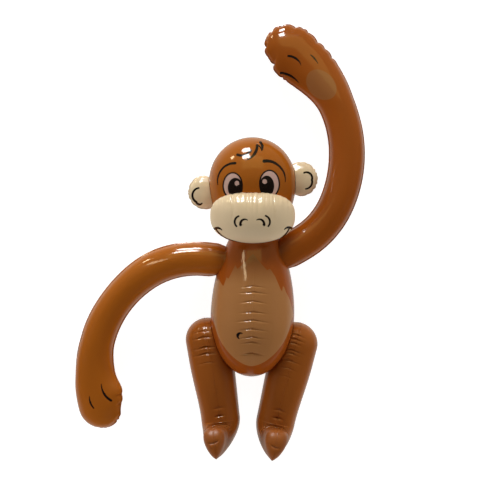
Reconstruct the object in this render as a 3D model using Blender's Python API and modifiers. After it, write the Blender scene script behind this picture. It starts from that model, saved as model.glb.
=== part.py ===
"""An inflatable monkey, lying on its back: ten welded chambers of vinyl film and an air valve.

+Z is up from the surface that it lies on, +Y runs from its feet to its head, and its face looks up.
The origin is on the flat spot of its back, at the torso's widest girth. Sizes are in metres.
"""

import math

import bmesh
import bpy
from mathutils import Matrix, Vector

WELD_GAP = 0.0003
WELD_MARGIN = 0.0002
NECK_MARGIN = 0.001
AXIS_HEIGHT = 0.0555

BELLY_RADIUS = 0.0586
BELLY_TO_SEAT = 0.085
BELLY_TO_NECK = 0.1148
NECK_TAPER = 0.0273
TAPER_LENGTH = 0.118
TORSO_LEAN = math.radians(-1.7)

HEAD_CENTRE_Y = 0.1876
HEAD_HALF_WIDTH = 0.061
HEAD_HALF_DEPTH = 0.057
CROWN_UP = 0.063
CHIN_DOWN = 0.081

MUZZLE_CENTRE = (0.0, 0.1365, 0.1035)
MUZZLE_HALF_WIDTH = 0.0585
MUZZLE_HALF_HEIGHT = 0.0350
MUZZLE_HALF_DEPTH = 0.027
MUZZLE_SQUARENESS = 2.5
MUZZLE_TILT = math.radians(13.6)
MUZZLE_WRAP = 0.014
PLEAT_COUNT = 10
PLEAT_DEPTH = 0.0020

EAR_RADIUS = 0.0242
EAR_HALF_DEPTH = 0.0135
EAR_ROOT = 0.020
EAR_FULLNESS = 0.55
EAR_PUCKER = 0.0012
EAR_PUCKERS = 5

ARM_ROOT = 0.030
WRIST_TO_PALM = 0.098
HAND_FULLNESS = 0.56
PUCKER_PITCH = 0.0175
PUCKER_DEPTH = 0.0022
TIP_FADE = 0.020

LEG_AXIS_HEIGHT = 0.0405
LEG_HALF_WIDTH = 0.0312
LEG_HALF_DEPTH = 0.0305
SHIN_HALF_WIDTH = 0.0275
SHIN_PITCH = math.radians(-4.0)
ANKLE_RADIUS = 0.0300
ANKLE_BEND = math.radians(95.0)
TOE_HALF_WIDTH = 0.0150
FOOT_HALF_DEPTH = 0.0215
FOOT_LENGTH = 0.0370
TOE_ROUND = 0.0180
FOOT_WIDEST = 0.30
SOLE_POWER = 1.50
SLIM_FROM = 0.4
LEAN_FROM = 0.7
LEAN_SHARE = 0.5

ARM_STEPS = 34
HAND_STEPS = 12
EAR_STEPS = (4, 9)
KNEE_STEPS = 6
SHIN_STEPS = 9
BEND_STEPS = 8
FOOT_STEPS = 2
TOE_STEPS = 6
LEG_SIDES = 16

VALVE_Y = -0.062
VALVE_RADIUS = 0.0080
PLUG_RADIUS = 0.0048
VALVE_HEIGHT = 0.0030

# Each arm: shoulder point, heading, (bend radius, degrees) pairs, tube radius, palm half width and
# depth, length of the round end, turn of the hand about the arm, and where and how far it droops.
# inner and outer are broad hollows in its two edges: millimetres from the fingertips, half length,
# and depth, negative where the edge bulges.
ARMS = {
    "left_arm": dict(
        shoulder=(0.0671, 0.1017), heading=30.6, bends=((0.1269, 34.5), (0.1768, 94.3)), tube=0.0254,
        palm=0.0388, palm_depth=0.0190, end=0.047, turn=0.0, droop_heading=90.0, droop=7.8,
        inner=((21, 12, 5.0), (98, 46, -2.2), (328, 60, 1.8)),
        outer=((12, 14, -2.6), (40, 10, -1.0), (62, 16, 1.6), (126, 22, -1.6)),
    ),
    "right_arm": dict(
        shoulder=(-0.0624, 0.0798), heading=173.2, bends=((0.1333, 39.1), (0.1620, 88.6)), tube=0.0245,
        palm=0.0375, palm_depth=0.0200, end=0.034, turn=26.0, droop_heading=237.0, droop=6.0,
        inner=((20, 9, 4.0), (52, 17, -6.0)),
        outer=((24, 20, -2.8), (82, 22, 2.0), (198, 52, 2.5), (322, 40, 1.3)),
    ),
}
# Each leg: top of the knee, side, lean towards the middle at the knee and at the ankle, shin length,
# and how far the toe ends up outside the ankle.
LEGS = {
    "right_leg": dict(knee=(-0.0682, -0.0040), side=-1, leans=(9.6, 5.5), shin=0.1452, toe_out=0.0125),
    "left_leg": dict(knee=(0.0690, -0.0108), side=1, leans=(14.6, 11.5), shin=0.1442, toe_out=0.0015),
}
# Each ear: centre of its round end and the way that it points.
EARS = {
    "right_ear": dict(centre=(-0.0660, 0.1736), heading=182.0),
    "left_ear": dict(centre=(0.0676, 0.1920), heading=4.0),
}

BROWN = (0.270, 0.070, 0.012, 1.0)
CREAM = (0.560, 0.440, 0.280, 1.0)
CLEAR_GREY = (0.600, 0.590, 0.560, 1.0)


def smooth(t):
    """0 before t = 0, 1 after t = 1, and an S curve between them."""
    t = min(max(t, 0.0), 1.0)
    return t * t * (3.0 - 2.0 * t)


def clear_scene():
    for obj in list(bpy.data.objects):
        bpy.data.objects.remove(obj)


def new_collection(name):
    collection = bpy.data.collections.new(name)
    bpy.context.scene.collection.children.link(collection)
    return collection


def vinyl(name, colour):
    material = bpy.data.materials.new(name)
    material.use_nodes = True
    shader = material.node_tree.nodes["Principled BSDF"]
    shader.inputs["Base Color"].default_value = colour
    shader.inputs["Roughness"].default_value = 0.18
    shader.inputs["Metallic"].default_value = 0.0
    return material


def add_object(name, mesh, collection, material=None):
    obj = bpy.data.objects.new(name, mesh)
    collection.objects.link(obj)
    if material:
        mesh.materials.append(material)
    mesh.shade_smooth()
    return obj


def cut(obj, cutter, name):
    """Takes the cutter's shape out of obj."""
    modifier = obj.modifiers.new(name, "BOOLEAN")
    modifier.operation = "DIFFERENCE"
    modifier.solver = "EXACT"
    modifier.object = cutter


def hide_cutter(obj):
    obj.hide_render = True
    obj.display_type = "WIRE"
    return obj


# Turned and rounded bodies


def torso_radius(y):
    """Half an ellipse from the seat to the belly, then a parabola that narrows to the neck."""
    if y < 0:
        return BELLY_RADIUS * math.sqrt(max(0.0, 1.0 - (y / BELLY_TO_SEAT) ** 2))
    return BELLY_RADIUS - NECK_TAPER * (y / TAPER_LENGTH) ** 2


def torso_body(name, collection, material=None, grow=0.0, rings=22, steps=30):
    """The torso as a profile turned about its long axis, which runs along +Y."""
    mesh = bpy.data.meshes.new(name)
    outline = [(0.0, -BELLY_TO_SEAT - grow)]
    for i in range(1, rings + 1):
        lower = i <= rings // 2
        if lower:
            y = -BELLY_TO_SEAT * math.cos(0.5 * math.pi * i / (rings // 2))
        else:
            y = BELLY_TO_NECK * (i - rings // 2) / (rings - rings // 2)
        outline.append((torso_radius(y) + grow, y))
    outline.append((0.0, BELLY_TO_NECK))
    points = [(radius, 0.0, -y) for radius, y in outline]
    mesh.from_pydata(points, [(i, i + 1) for i in range(len(points) - 1)], [])
    obj = add_object(name, mesh, collection, material)
    screw = obj.modifiers.new("turn", "SCREW")
    screw.axis = "Z"
    screw.steps = steps
    screw.render_steps = steps
    screw.use_merge_vertices = True
    screw.merge_threshold = 0.00001
    obj.rotation_euler = (math.pi / 2, 0.0, TORSO_LEAN)
    obj.location = (0.0, 0.0, AXIS_HEIGHT)
    return obj


def ball(name, shape, collection, material=None, segments=32, rings=20):
    """A sphere, with its poles front and back, whose every point is moved by shape(x, y, z)."""
    mesh = bpy.data.meshes.new(name)
    body = bmesh.new()
    bmesh.ops.create_uvsphere(body, u_segments=segments, v_segments=rings, radius=1.0)
    for vertex in body.verts:
        vertex.co = shape(*vertex.co)
    body.to_mesh(mesh)
    body.free()
    return add_object(name, mesh, collection, material)


def head_shape(grow=0.0):
    """An egg whose crown is blunter than its chin, swollen by grow."""
    def shape(x, y, z):
        reach = CROWN_UP if y > 0 else CHIN_DOWN
        return Vector((
            x * (HEAD_HALF_WIDTH + grow),
            HEAD_CENTRE_Y + y * (reach + grow),
            AXIS_HEIGHT + z * (HEAD_HALF_DEPTH + grow),
        ))
    return shape


def muzzle_shape(x, y, z):
    """A squarish oval pillow that follows the face, with pleats along its upper edge."""
    flat = math.hypot(x, y)
    squared = (abs(x) ** MUZZLE_SQUARENESS + abs(y) ** MUZZLE_SQUARENESS) ** (1 / MUZZLE_SQUARENESS)
    stretch = flat / squared if squared > 1e-6 else 1.0
    angle = math.atan2(y, x)
    pleat = PLEAT_DEPTH * smooth((math.sin(angle) - 0.3) / 0.4) * smooth((flat - 0.6) / 0.3)
    wide = x * stretch * MUZZLE_HALF_WIDTH
    high = y * stretch * MUZZLE_HALF_HEIGHT - pleat * (0.5 + 0.5 * math.cos(2 * PLEAT_COUNT * angle))
    deep = z * MUZZLE_HALF_DEPTH - MUZZLE_WRAP * (wide / MUZZLE_HALF_WIDTH) ** 2
    return Matrix.Rotation(MUZZLE_TILT, 3, "X") @ Vector((wide, high, deep)) + Vector(MUZZLE_CENTRE)


# Flat-welded chambers: arms, legs and ears


def arc_path(bends, root):
    """The length of a straight root and then arcs in a plane, and a function of the distance
    along them that gives the point and the heading."""
    stretches = [(root, 0.0)]
    stretches += [(radius * math.radians(sweep), 1.0 / radius) for radius, sweep in bends]
    total = sum(length for length, _ in stretches)

    def at(distance):
        x, y, heading, left = 0.0, 0.0, 0.0, distance
        for length, curvature in stretches:
            step = min(length, left)
            if curvature:
                x += (math.sin(heading + curvature * step) - math.sin(heading)) / curvature
                y += (math.cos(heading) - math.cos(heading + curvature * step)) / curvature
            else:
                x += step * math.cos(heading)
                y += step * math.sin(heading)
            heading += curvature * step
            left -= step
        return Vector((x, y, 0.0)), heading

    return at, total


def chamber(name, rings, tip, root, collection, material):
    """Skins the rings of points, and closes them at the root and the tip."""
    mesh = bpy.data.meshes.new(name)
    body = bmesh.new()
    loops = [[body.verts.new(point) for point in ring] for ring in rings]
    for first, second in zip(loops, loops[1:]):
        for i, corner in enumerate(first):
            j = (i + 1) % len(first)
            body.faces.new((corner, first[j], second[j], second[i]))
    for loop, point, flip in ((loops[0], root, True), (loops[-1], tip, False)):
        pole = body.verts.new(point)
        for i, corner in enumerate(loop):
            pair = (loop[(i + 1) % len(loop)], corner) if flip else (corner, loop[(i + 1) % len(loop)])
            body.faces.new((*pair, pole))
    bmesh.ops.recalc_face_normals(body, faces=body.faces)
    body.to_mesh(mesh)
    body.free()
    return add_object(name, mesh, collection, material)


def section(centre, heading, half_widths, half_depth, fullness, turn=0.0, count=16):
    """One ring: the welds are at both ends of its width, which may reach further on one side, and
    fullness 0.5 makes it an ellipse."""
    ring = []
    for i in range(count):
        angle = 2 * math.pi * i / count
        across = half_widths[0 if math.cos(angle) > 0 else 1] * math.cos(angle)
        deep = half_depth * math.copysign(abs(math.sin(angle)) ** (2 * fullness), math.sin(angle))
        across, deep = (
            across * math.cos(turn) - deep * math.sin(turn),
            across * math.sin(turn) + deep * math.cos(turn),
        )
        side = Vector((-math.sin(heading), math.cos(heading), 0.0))
        ring.append(centre + side * across + Vector((0.0, 0.0, deep)))
    return ring


def stations(total, end, body_steps, end_steps):
    """Distances along a chamber: even along the tube, and crowding towards the rounded end."""
    straight = [i * (total - end) / body_steps for i in range(body_steps + 1)]
    rounded = [
        total - end + end * math.sin(0.5 * math.pi * i / end_steps) for i in range(1, end_steps)
    ]
    return straight + rounded


def hollow(places, from_tip):
    """How far an edge is drawn in, the sum of depth * exp(-((x - place) / half length)^2)."""
    x = 1000 * from_tip
    return sum(0.001 * deep * math.exp(-(((x - place) / half) ** 2)) for place, half, deep in places)


def arm(name, collection, material, sizes):
    """A tube welded along both sides, which widens and flattens into a hand with a puckered rim."""
    at, total = arc_path(sizes["bends"], ARM_ROOT)
    palm = total - sizes["end"]
    wrist = palm - WRIST_TO_PALM
    tube = sizes["tube"]
    rings = []
    edge = 0.0
    last = None
    for s in stations(total, sizes["end"], ARM_STEPS, HAND_STEPS):
        centre, heading = at(s)
        grown = smooth((s - wrist) / WRIST_TO_PALM)
        rounded = math.sqrt(max(0.0, 1.0 - (max(0.0, s - palm) / sizes["end"]) ** 2))
        wide = (tube + (sizes["palm"] - tube) * grown) * rounded
        deep = (tube + (sizes["palm_depth"] - tube) * grown) * rounded
        corner = Vector((s, wide))
        edge += (corner - last).length if last else 0.0
        last = corner
        pucker = PUCKER_DEPTH * grown * (1.0 - abs(math.sin(math.pi * edge / PUCKER_PITCH)))
        near_tip = min(1.0, wide / TIP_FADE)
        widths = [wide - (pucker + hollow(sizes[rim], total - s)) * near_tip for rim in ("inner", "outer")]
        fullness = 0.5 + (HAND_FULLNESS - 0.5) * grown
        turn = math.radians(sizes["turn"]) * grown
        rings.append(section(centre, heading, widths, deep, fullness, turn))
    obj = chamber(name, rings, at(total)[0], at(0.0)[0], collection, material)
    heading = math.radians(sizes["heading"])
    towards = math.radians(sizes["droop_heading"])
    shoulder = Vector((*sizes["shoulder"], AXIS_HEIGHT))
    droop_axis = Vector((-math.sin(towards), math.cos(towards), 0.0))
    droop = Matrix.Rotation(math.radians(sizes["droop"]), 4, droop_axis)
    turned = droop @ Matrix.Rotation(heading, 4, "Z")
    obj.matrix_world = Matrix.Translation(shoulder) @ turned @ Matrix.Translation((-ARM_ROOT, 0, 0))
    return obj


def ear(name, collection, material, sizes):
    """A short round-ended chamber whose weld scallops round its rim."""
    total = EAR_ROOT + EAR_RADIUS
    rings = []
    for s in stations(total, EAR_RADIUS, *EAR_STEPS):
        end = math.sqrt(max(0.0, 1.0 - (max(0.0, s - EAR_ROOT) / EAR_RADIUS) ** 2))
        angle = math.asin(min(1.0, max(0.0, s - EAR_ROOT) / EAR_RADIUS))
        pucker = EAR_PUCKER * smooth(angle) * (1.0 - abs(math.sin(angle * EAR_PUCKERS)))
        widths = [EAR_RADIUS * end - pucker] * 2
        rings.append(section(Vector((s, 0.0, 0.0)), 0.0, widths, EAR_HALF_DEPTH * end, EAR_FULLNESS))
    obj = chamber(name, rings, Vector((total, 0, 0)), Vector((0, 0, 0)), collection, material)
    heading = math.radians(sizes["heading"])
    obj.rotation_euler = (0.0, 0.0, heading)
    obj.location = (
        sizes["centre"][0] - EAR_ROOT * math.cos(heading),
        sizes["centre"][1] - EAR_ROOT * math.sin(heading),
        AXIS_HEIGHT,
    )
    return obj


def wedge(forward):
    """The foot's half width as a share, from -1 at the sole's seam to 1 at the instep's: it narrows
    to a point behind its widest line and is round in front of it."""
    if forward < FOOT_WIDEST:
        return 1.0 - ((FOOT_WIDEST - forward) / (1.0 + FOOT_WIDEST)) ** SOLE_POWER
    return math.sqrt(max(0.0, 1.0 - ((forward - FOOT_WIDEST) / (1.0 - FOOT_WIDEST)) ** 2))


def leg(name, collection, material, sizes):
    """A chamber welded front and back: round at the knee, then a shin, and a foot that turns up."""
    shin = sizes["shin"]
    bend = ANKLE_RADIUS * (ANKLE_BEND - SHIN_PITCH)
    total = shin + bend + FOOT_LENGTH
    first, last = (math.radians(lean) for lean in sizes["leans"])
    knee = LEG_HALF_DEPTH
    quarter = 0.5 * math.pi
    spots = [knee * (1 - math.cos(quarter * i / KNEE_STEPS)) for i in range(1, KNEE_STEPS + 1)]
    spots += [knee + (shin - knee) * i / SHIN_STEPS for i in range(1, SHIN_STEPS + 1)]
    spots += [shin + bend * i / BEND_STEPS for i in range(1, BEND_STEPS + 1)]
    straight = FOOT_LENGTH - TOE_ROUND
    spots += [shin + bend + straight * i / FOOT_STEPS for i in range(1, FOOT_STEPS + 1)]
    spots += [total - TOE_ROUND + TOE_ROUND * math.sin(quarter * i / TOE_STEPS) for i in range(1, TOE_STEPS)]
    centre = Vector((*sizes["knee"], LEG_AXIS_HEIGHT))
    top = centre.copy()
    rings = []
    before = 0.0
    for s in spots + [total]:
        lean = first + (last - first) * smooth((s / shin - LEAN_FROM) / LEAN_SHARE)
        pitch = SHIN_PITCH + (ANKLE_BEND - SHIN_PITCH) * min(max((s - shin) / bend, 0.0), 1.0)
        down = Vector((-sizes["side"] * math.sin(lean), -math.cos(lean), 0.0))
        out = Vector((-sizes["side"] * down.y, sizes["side"] * down.x, 0.0))
        front = Vector((0.0, 0.0, math.cos(pitch))) - down * math.sin(pitch)
        centre = centre + (down * math.cos(pitch) + Vector((0.0, 0.0, math.sin(pitch)))) * (s - before)
        before = s
        rounded = math.sqrt(max(0.0, 1 - (max(0.0, knee - s) / knee) ** 2))
        rounded *= math.sqrt(max(0.0, 1 - (max(0.0, s - total + TOE_ROUND) / TOE_ROUND) ** 2))
        foot = smooth((s - shin) / bend)
        toward_toe = smooth((s - shin) / (bend + FOOT_LENGTH - TOE_ROUND))
        slim = smooth((s / shin - SLIM_FROM) / (1.0 - SLIM_FROM))
        wide = LEG_HALF_WIDTH + (SHIN_HALF_WIDTH - LEG_HALF_WIDTH) * slim
        wide = (wide + (TOE_HALF_WIDTH - wide) * toward_toe) * rounded
        deep = (LEG_HALF_DEPTH + (FOOT_HALF_DEPTH - LEG_HALF_DEPTH) * foot) * rounded
        ring = []
        for i in range(LEG_SIDES):
            angle = 2 * math.pi * i / LEG_SIDES
            share = abs(math.sin(angle)) * (1.0 - foot) + wedge(math.cos(angle)) * foot
            across = wide * math.copysign(share, math.sin(angle)) + sizes["toe_out"] * toward_toe
            ring.append(centre + front * deep * math.cos(angle) + out * across)
        rings.append(ring)
    return chamber(name, rings[:-1], centre + out * sizes["toe_out"], top, collection, material)


def valve(name, collection, material):
    """A round valve flange with its plug pushed in, square to the torso's lower back."""
    mesh = bpy.data.meshes.new(name)
    outline = (
        (0.0, VALVE_HEIGHT), (PLUG_RADIUS, VALVE_HEIGHT), (PLUG_RADIUS, 0.6 * VALVE_HEIGHT),
        (VALVE_RADIUS, 0.4 * VALVE_HEIGHT), (VALVE_RADIUS, -VALVE_HEIGHT), (0.0, -VALVE_HEIGHT),
    )
    points = [(radius, 0.0, height) for radius, height in outline]
    mesh.from_pydata(points, [(i, i + 1) for i in range(len(points) - 1)], [])
    obj = add_object(name, mesh, collection, material)
    screw = obj.modifiers.new("turn", "SCREW")
    screw.steps = 24
    screw.render_steps = 24
    screw.use_merge_vertices = True
    screw.merge_threshold = 0.00001
    radius = torso_radius(VALVE_Y)
    outward = Vector((0.0, VALVE_Y / BELLY_TO_SEAT**2, -radius / BELLY_RADIUS**2)).normalized()
    place = Matrix.Translation((0.0, VALVE_Y, -radius)) @ outward.to_track_quat("Z", "X").to_matrix().to_4x4()
    lean = Matrix.Rotation(TORSO_LEAN, 4, "Z")
    obj.matrix_world = Matrix.Translation((0.0, 0.0, AXIS_HEIGHT)) @ lean @ place
    return obj


def slab(name, collection, low, high):
    """A box between two corners, used as a cutter."""
    mesh = bpy.data.meshes.new(name)
    body = bmesh.new()
    bmesh.ops.create_cube(body, size=1.0)
    middle = (Vector(low) + Vector(high)) / 2
    size = Vector(high) - Vector(low)
    for vertex in body.verts:
        vertex.co = middle + Vector(a * b for a, b in zip(vertex.co, size))
    body.to_mesh(mesh)
    body.free()
    return hide_cutter(add_object(name, mesh, collection))


def main():
    clear_scene()
    monkey = new_collection("inflatable_monkey")
    cutters = new_collection("cutters")
    brown = vinyl("brown_vinyl", BROWN)
    cream = vinyl("cream_vinyl", CREAM)
    grey = vinyl("valve_vinyl", CLEAR_GREY)

    floor = slab("floor_cutter", cutters, (-0.5, -0.5, -0.2), (0.5, 0.6, 0.0))
    below_neck = slab(
        "neck_cutter", cutters, (-0.2, -0.2, -0.1), (0.2, BELLY_TO_NECK + WELD_GAP + NECK_MARGIN, 0.3)
    )
    torso_weld = hide_cutter(torso_body("torso_weld", cutters, grow=WELD_GAP + WELD_MARGIN))
    head_weld = hide_cutter(ball("head_weld", head_shape(WELD_GAP + WELD_MARGIN), cutters))

    torso = torso_body("torso", monkey, brown)
    head = ball("head", head_shape(), monkey, brown)
    cut(torso, floor, "rest_flat")
    cut(head, floor, "rest_flat")
    cut(head, below_neck, "neck_weld")

    muzzle = ball("muzzle", muzzle_shape, monkey, cream, segments=40, rings=14)
    cut(muzzle, head_weld, "face_weld")
    cut(muzzle, torso_weld, "neck_rest")
    for name, sizes in EARS.items():
        cut(ear(name, monkey, cream, sizes), head_weld, "side_weld")
    for name, sizes in ARMS.items():
        limb = arm(name, monkey, brown, sizes)
        cut(limb, torso_weld, "shoulder_weld")
        cut(limb, floor, "rest_flat")
    for name, sizes in LEGS.items():
        cut(leg(name, monkey, brown, sizes), torso_weld, "hip_weld")
    cut(valve("air_valve", monkey, grey), torso_weld, "back_weld")


main()
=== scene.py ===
# %% [markdown]
# # An inflatable monkey
# The real object is a toy of thin vinyl film: ten chambers, each cut from flat sheets, welded
# along their edges, printed and blown up. It lies on its back, so the camera looks straight down.
# A blown-up film could be simulated, but its shape is so regular that formulas give it better:
# every chamber here is a grid of points worked out with numpy, with the puckers that a weld makes
# pressed into it. Each chamber takes the place of a solid of the imported model, which is hidden;
# where it is and how big are given here as numbers.

# %% Load the imported model
import functools
import math

import bpy
import numpy as np
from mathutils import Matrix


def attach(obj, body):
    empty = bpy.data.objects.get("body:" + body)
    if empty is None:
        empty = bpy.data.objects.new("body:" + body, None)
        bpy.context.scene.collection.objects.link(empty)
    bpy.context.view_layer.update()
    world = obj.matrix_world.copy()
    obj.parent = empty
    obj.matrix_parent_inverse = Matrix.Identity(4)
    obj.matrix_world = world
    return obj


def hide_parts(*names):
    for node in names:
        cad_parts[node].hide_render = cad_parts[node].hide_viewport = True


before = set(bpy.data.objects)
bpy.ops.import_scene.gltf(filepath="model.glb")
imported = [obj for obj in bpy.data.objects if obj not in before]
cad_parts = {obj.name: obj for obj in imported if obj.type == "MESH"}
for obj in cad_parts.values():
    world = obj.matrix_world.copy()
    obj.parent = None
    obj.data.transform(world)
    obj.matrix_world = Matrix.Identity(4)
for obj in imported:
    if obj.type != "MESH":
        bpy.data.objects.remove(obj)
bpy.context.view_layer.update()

MM = 0.001

# %% [markdown]
# ## Camera, floor and light
# The camera hangs 1.8 m above the toy and looks down, which is the same view as a front view of a
# toy that hangs on a wall. Vinyl shows its lamps as sharp, bright marks, so where a lamp stands
# matters as much as how strong it is. The lamps therefore have two jobs, and each does only one:
# mirrored lamps leave marks and don't light the film, and fill lamps light it and leave no marks.
# The two main mirrored lamps stand beyond the head, one low and one higher, so they mark what
# slopes that way: the crown, the raised hand, the arm, and the lower side of every fold.
# The room round them is dim overhead, because film that faces the camera mirrors it, and paler
# just below the height of the floor's edge, which the steep sides of each chamber mirror as a rim.

# %% The camera looks straight down
LENS_HEIGHT = 1.86
FRAMED_MIDDLE, FRAMED_WIDTH = (-0.0174, 0.1064), 0.672
SUBJECT_HEIGHT = 0.060
SENSOR = 36.0

camera_data = bpy.data.cameras.new("camera")
camera_data.sensor_width = SENSOR
camera_data.lens = SENSOR * (LENS_HEIGHT - SUBJECT_HEIGHT) / FRAMED_WIDTH
camera = bpy.data.objects.new("camera", camera_data)
camera.location = (*FRAMED_MIDDLE, LENS_HEIGHT)
bpy.context.scene.collection.objects.link(camera)
bpy.context.scene.camera = camera
bpy.context.scene.view_settings.view_transform = "Standard"
print("lens, mm:", round(camera_data.lens, 1))

# %% Helpers for node trees
def feed(tree, made, inputs):
    """Gives a node's inputs, by name or number, values, or links where a value is an output."""
    for name, value in dict(inputs).items():
        if isinstance(value, bpy.types.NodeSocket):
            tree.links.new(value, made.inputs[name])
        else:
            made.inputs[name].default_value = value


def node(tree, kind, inputs=(), **settings):
    """Adds a node, sets its properties and feeds its inputs."""
    made = tree.nodes.new(kind)
    for name, value in settings.items():
        setattr(made, name, value)
    feed(tree, made, inputs)
    return made


def calc(tree, operation, *values):
    """A Math node's result."""
    return node(tree, "ShaderNodeMath", dict(enumerate(values)), operation=operation).outputs[0]


def calc_vector(tree, operation, *values):
    """A Vector Math node's result."""
    return node(tree, "ShaderNodeVectorMath", dict(enumerate(values)), operation=operation).outputs[0]


def calc_range(tree, value, low, high, to_low=0.0, to_high=1.0, shape="LINEAR"):
    """A Map Range node's result: to_low where the value is low and to_high where it is high."""
    return node(tree, "ShaderNodeMapRange", {
        "Value": value, "From Min": low, "From Max": high, "To Min": to_low, "To Max": to_high,
    }, interpolation_type=shape).outputs["Result"]


def calc_axes(tree, vector):
    """The X, Y and Z of a vector."""
    return node(tree, "ShaderNodeSeparateXYZ", {0: vector}).outputs


def opaque(colour):
    """A colour of three numbers with its alpha, or a node's colour as it is."""
    return colour if isinstance(colour, bpy.types.NodeSocket) else (*colour, 1.0)


def calc_mix(tree, share, first, second):
    """The first colour where the share is 0 and the second where it is 1."""
    inputs = {"Factor": share, 6: opaque(first), 7: opaque(second)}
    return node(tree, "ShaderNodeMix", inputs, data_type="RGBA").outputs[2]


# %% A pale floor
FLOOR_HALF = 6.0
FLOOR_GREY = 0.42
FLOOR_GLOW = 0.93

floor_mesh = bpy.data.meshes.new("floor")
floor_corners = [(x * FLOOR_HALF, y * FLOOR_HALF, 0.0) for x, y in ((-1, -1), (1, -1), (1, 1), (-1, 1))]
floor_mesh.from_pydata(floor_corners, [], [(0, 1, 2, 3)])
floor = bpy.data.objects.new("floor", floor_mesh)
bpy.context.scene.collection.objects.link(floor)
paper = bpy.data.materials.new("floor_paper")
paper.use_nodes = True
feed(paper.node_tree, paper.node_tree.nodes["Principled BSDF"], {
    "Base Color": opaque([FLOOR_GREY] * 3), "Roughness": 0.9, "Specular IOR Level": 0.1,
    "Emission Color": opaque([1.0] * 3), "Emission Strength": FLOOR_GLOW,
})
floor_mesh.materials.append(paper)
floor.visible_glossy = False
print("floor, m across:", 2 * FLOOR_HALF)

# %% The room: dim, warmer beyond the head, paler low down
ROOM_DIM = 0.038
ROOM_BEYOND = (0.250, 0.225, 0.125)
ROOM_LOW = (0.475, 0.500, 0.450)
# How much of the low tone there is: the place is 0 level with the toy and 1 straight down.
LOW_SHARES = ((0.20, 0.0), (0.55, 0.7), (0.80, 1.0), (0.93, 1.0), (0.99, 0.3))

world = bpy.data.worlds.new("studio")
bpy.context.scene.world = world
world.use_nodes = True
sky = world.node_tree
direction = calc_axes(sky, node(sky, "ShaderNodeTexCoord").outputs["Generated"])
beyond = calc_range(sky, direction["Y"], -0.2, 0.9, shape="SMOOTHSTEP")
room = calc_mix(sky, beyond, [ROOM_DIM] * 3, [ROOM_DIM + more for more in ROOM_BEYOND])
below = node(sky, "ShaderNodeValToRGB", {0: calc(sky, "MULTIPLY", direction["Z"], -1.0)})
steps = below.color_ramp.elements
for place, share in LOW_SHARES:
    steps.new(place).color = opaque([share * tone for tone in ROOM_LOW])
steps.remove(steps[0])
steps.remove(steps[-1])
feed(sky, sky.nodes["Background"], {"Color": calc_vector(sky, "ADD", room, below.outputs["Color"])})
print("room nodes:", len(sky.nodes))


# %% The lamps
def lamp(name, place, aim, size, power, colour=(1.0, 1.0, 1.0), mirrored=False):
    """A rectangular area lamp at place that faces aim. Sizes in metres, power in watts. A mirrored
    lamp only leaves bright marks on the film, and any other only lights it."""
    data = bpy.data.lights.new(name, "AREA")
    data.shape = "RECTANGLE"
    data.size, data.size_y = size
    data.energy = power
    data.color = colour
    obj = bpy.data.objects.new(name, data)
    toward = np.array(aim) - np.array(place)
    yaw = math.atan2(toward[0], -toward[1])
    pitch = math.atan2(math.hypot(toward[0], toward[1]), -toward[2])
    obj.location = place
    obj.rotation_euler = (pitch, 0.0, math.pi + yaw)
    obj.visible_camera = False
    obj.visible_glossy, obj.visible_diffuse = mirrored, not mirrored
    bpy.context.scene.collection.objects.link(obj)
    return obj


TOY_MIDDLE, NECK = (0.0, 0.1, 0.06), (0.0, 0.08, 0.1)
FILL_SIZE = (2.4, 1.6)
WARM, CREAMY, COOL = (1.0, 0.75, 0.20), (1.0, 0.82, 0.50), (0.85, 0.93, 1.0)
lamp("low_lamp", (-0.75, 4.0, 0.43), TOY_MIDDLE, (0.95, 0.80), 77.0, mirrored=True)
lamp("band_lamp", (-0.95, 3.7, 1.80), TOY_MIDDLE, (1.0, 0.75), 69.0, mirrored=True)
lamp("side_lamp", (-2.5, 3.1, 0.50), TOY_MIDDLE, (0.4, 0.4), 12.0, CREAMY, mirrored=True)
strip_lamp = lamp("strip_lamp", (-1.47, 1.53, 2.16), NECK, (0.26, 1.34), 8.3, CREAMY, mirrored=True)
sheen_lamp = lamp("sheen_lamp", (-0.6, 3.4, 1.2), TOY_MIDDLE, (2.2, 1.8), 58.0, COOL, mirrored=True)
lamp("warm_panel", (0.0, 2.6, 2.2), TOY_MIDDLE, (3.0, 2.0), 16.0, WARM, mirrored=True)
lamp("beyond_fill", (0.0, 3.6, 1.4), TOY_MIDDLE, FILL_SIZE, 86.0)
lamp("near_fill", (0.0, -3.2, 1.4), TOY_MIDDLE, FILL_SIZE, 34.0)
lamp("left_fill", (-3.2, 0.1, 1.4), TOY_MIDDLE, FILL_SIZE, 30.0)
lamp("right_fill", (3.2, 0.1, 1.4), TOY_MIDDLE, FILL_SIZE, 20.0)


# %% [markdown]
# ## From a grid of points to a film
# A chamber is a tube of film that closes at both ends. Its points fit a grid: rows run along it,
# columns run round it. Four neighbours make a face, and a fan of triangles closes each end.
# Blender could build such a tube with a bevelled curve, but a grid lets each point be moved by a
# formula, which puckers need.

# %% Joining a grid into a closed mesh
def smooth(t):
    """0 below t = 0, 1 above t = 1, and 3t² − 2t³ between them."""
    t = np.clip(t, 0.0, 1.0)
    return t * t * (3.0 - 2.0 * t)


def round_end(t):
    """√(1 − t²): 1 at t = 0, and it closes like a circle at t = 1."""
    return np.sqrt(np.maximum(0.0, 1.0 - t**2))


def unit(vectors):
    """Each vector divided by its length."""
    return vectors / np.maximum(np.linalg.norm(vectors, axis=-1, keepdims=True), 1e-12)


def grid_faces(rows, columns):
    """Four-sided faces between neighbouring rows and columns, and a fan at each end. The points
    are numbered row by row, and the two end points come last."""
    corner = np.arange(rows * columns).reshape(rows, columns)
    right = np.roll(corner, -1, axis=1)
    quads = np.stack([corner[:-1], right[:-1], right[1:], corner[1:]], axis=-1).reshape(-1, 4)
    start = np.stack([right[0], corner[0], np.full(columns, rows * columns)], axis=-1)
    end = np.stack([corner[-1], right[-1], np.full(columns, rows * columns + 1)], axis=-1)
    return quads, np.concatenate([start, end])


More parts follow.
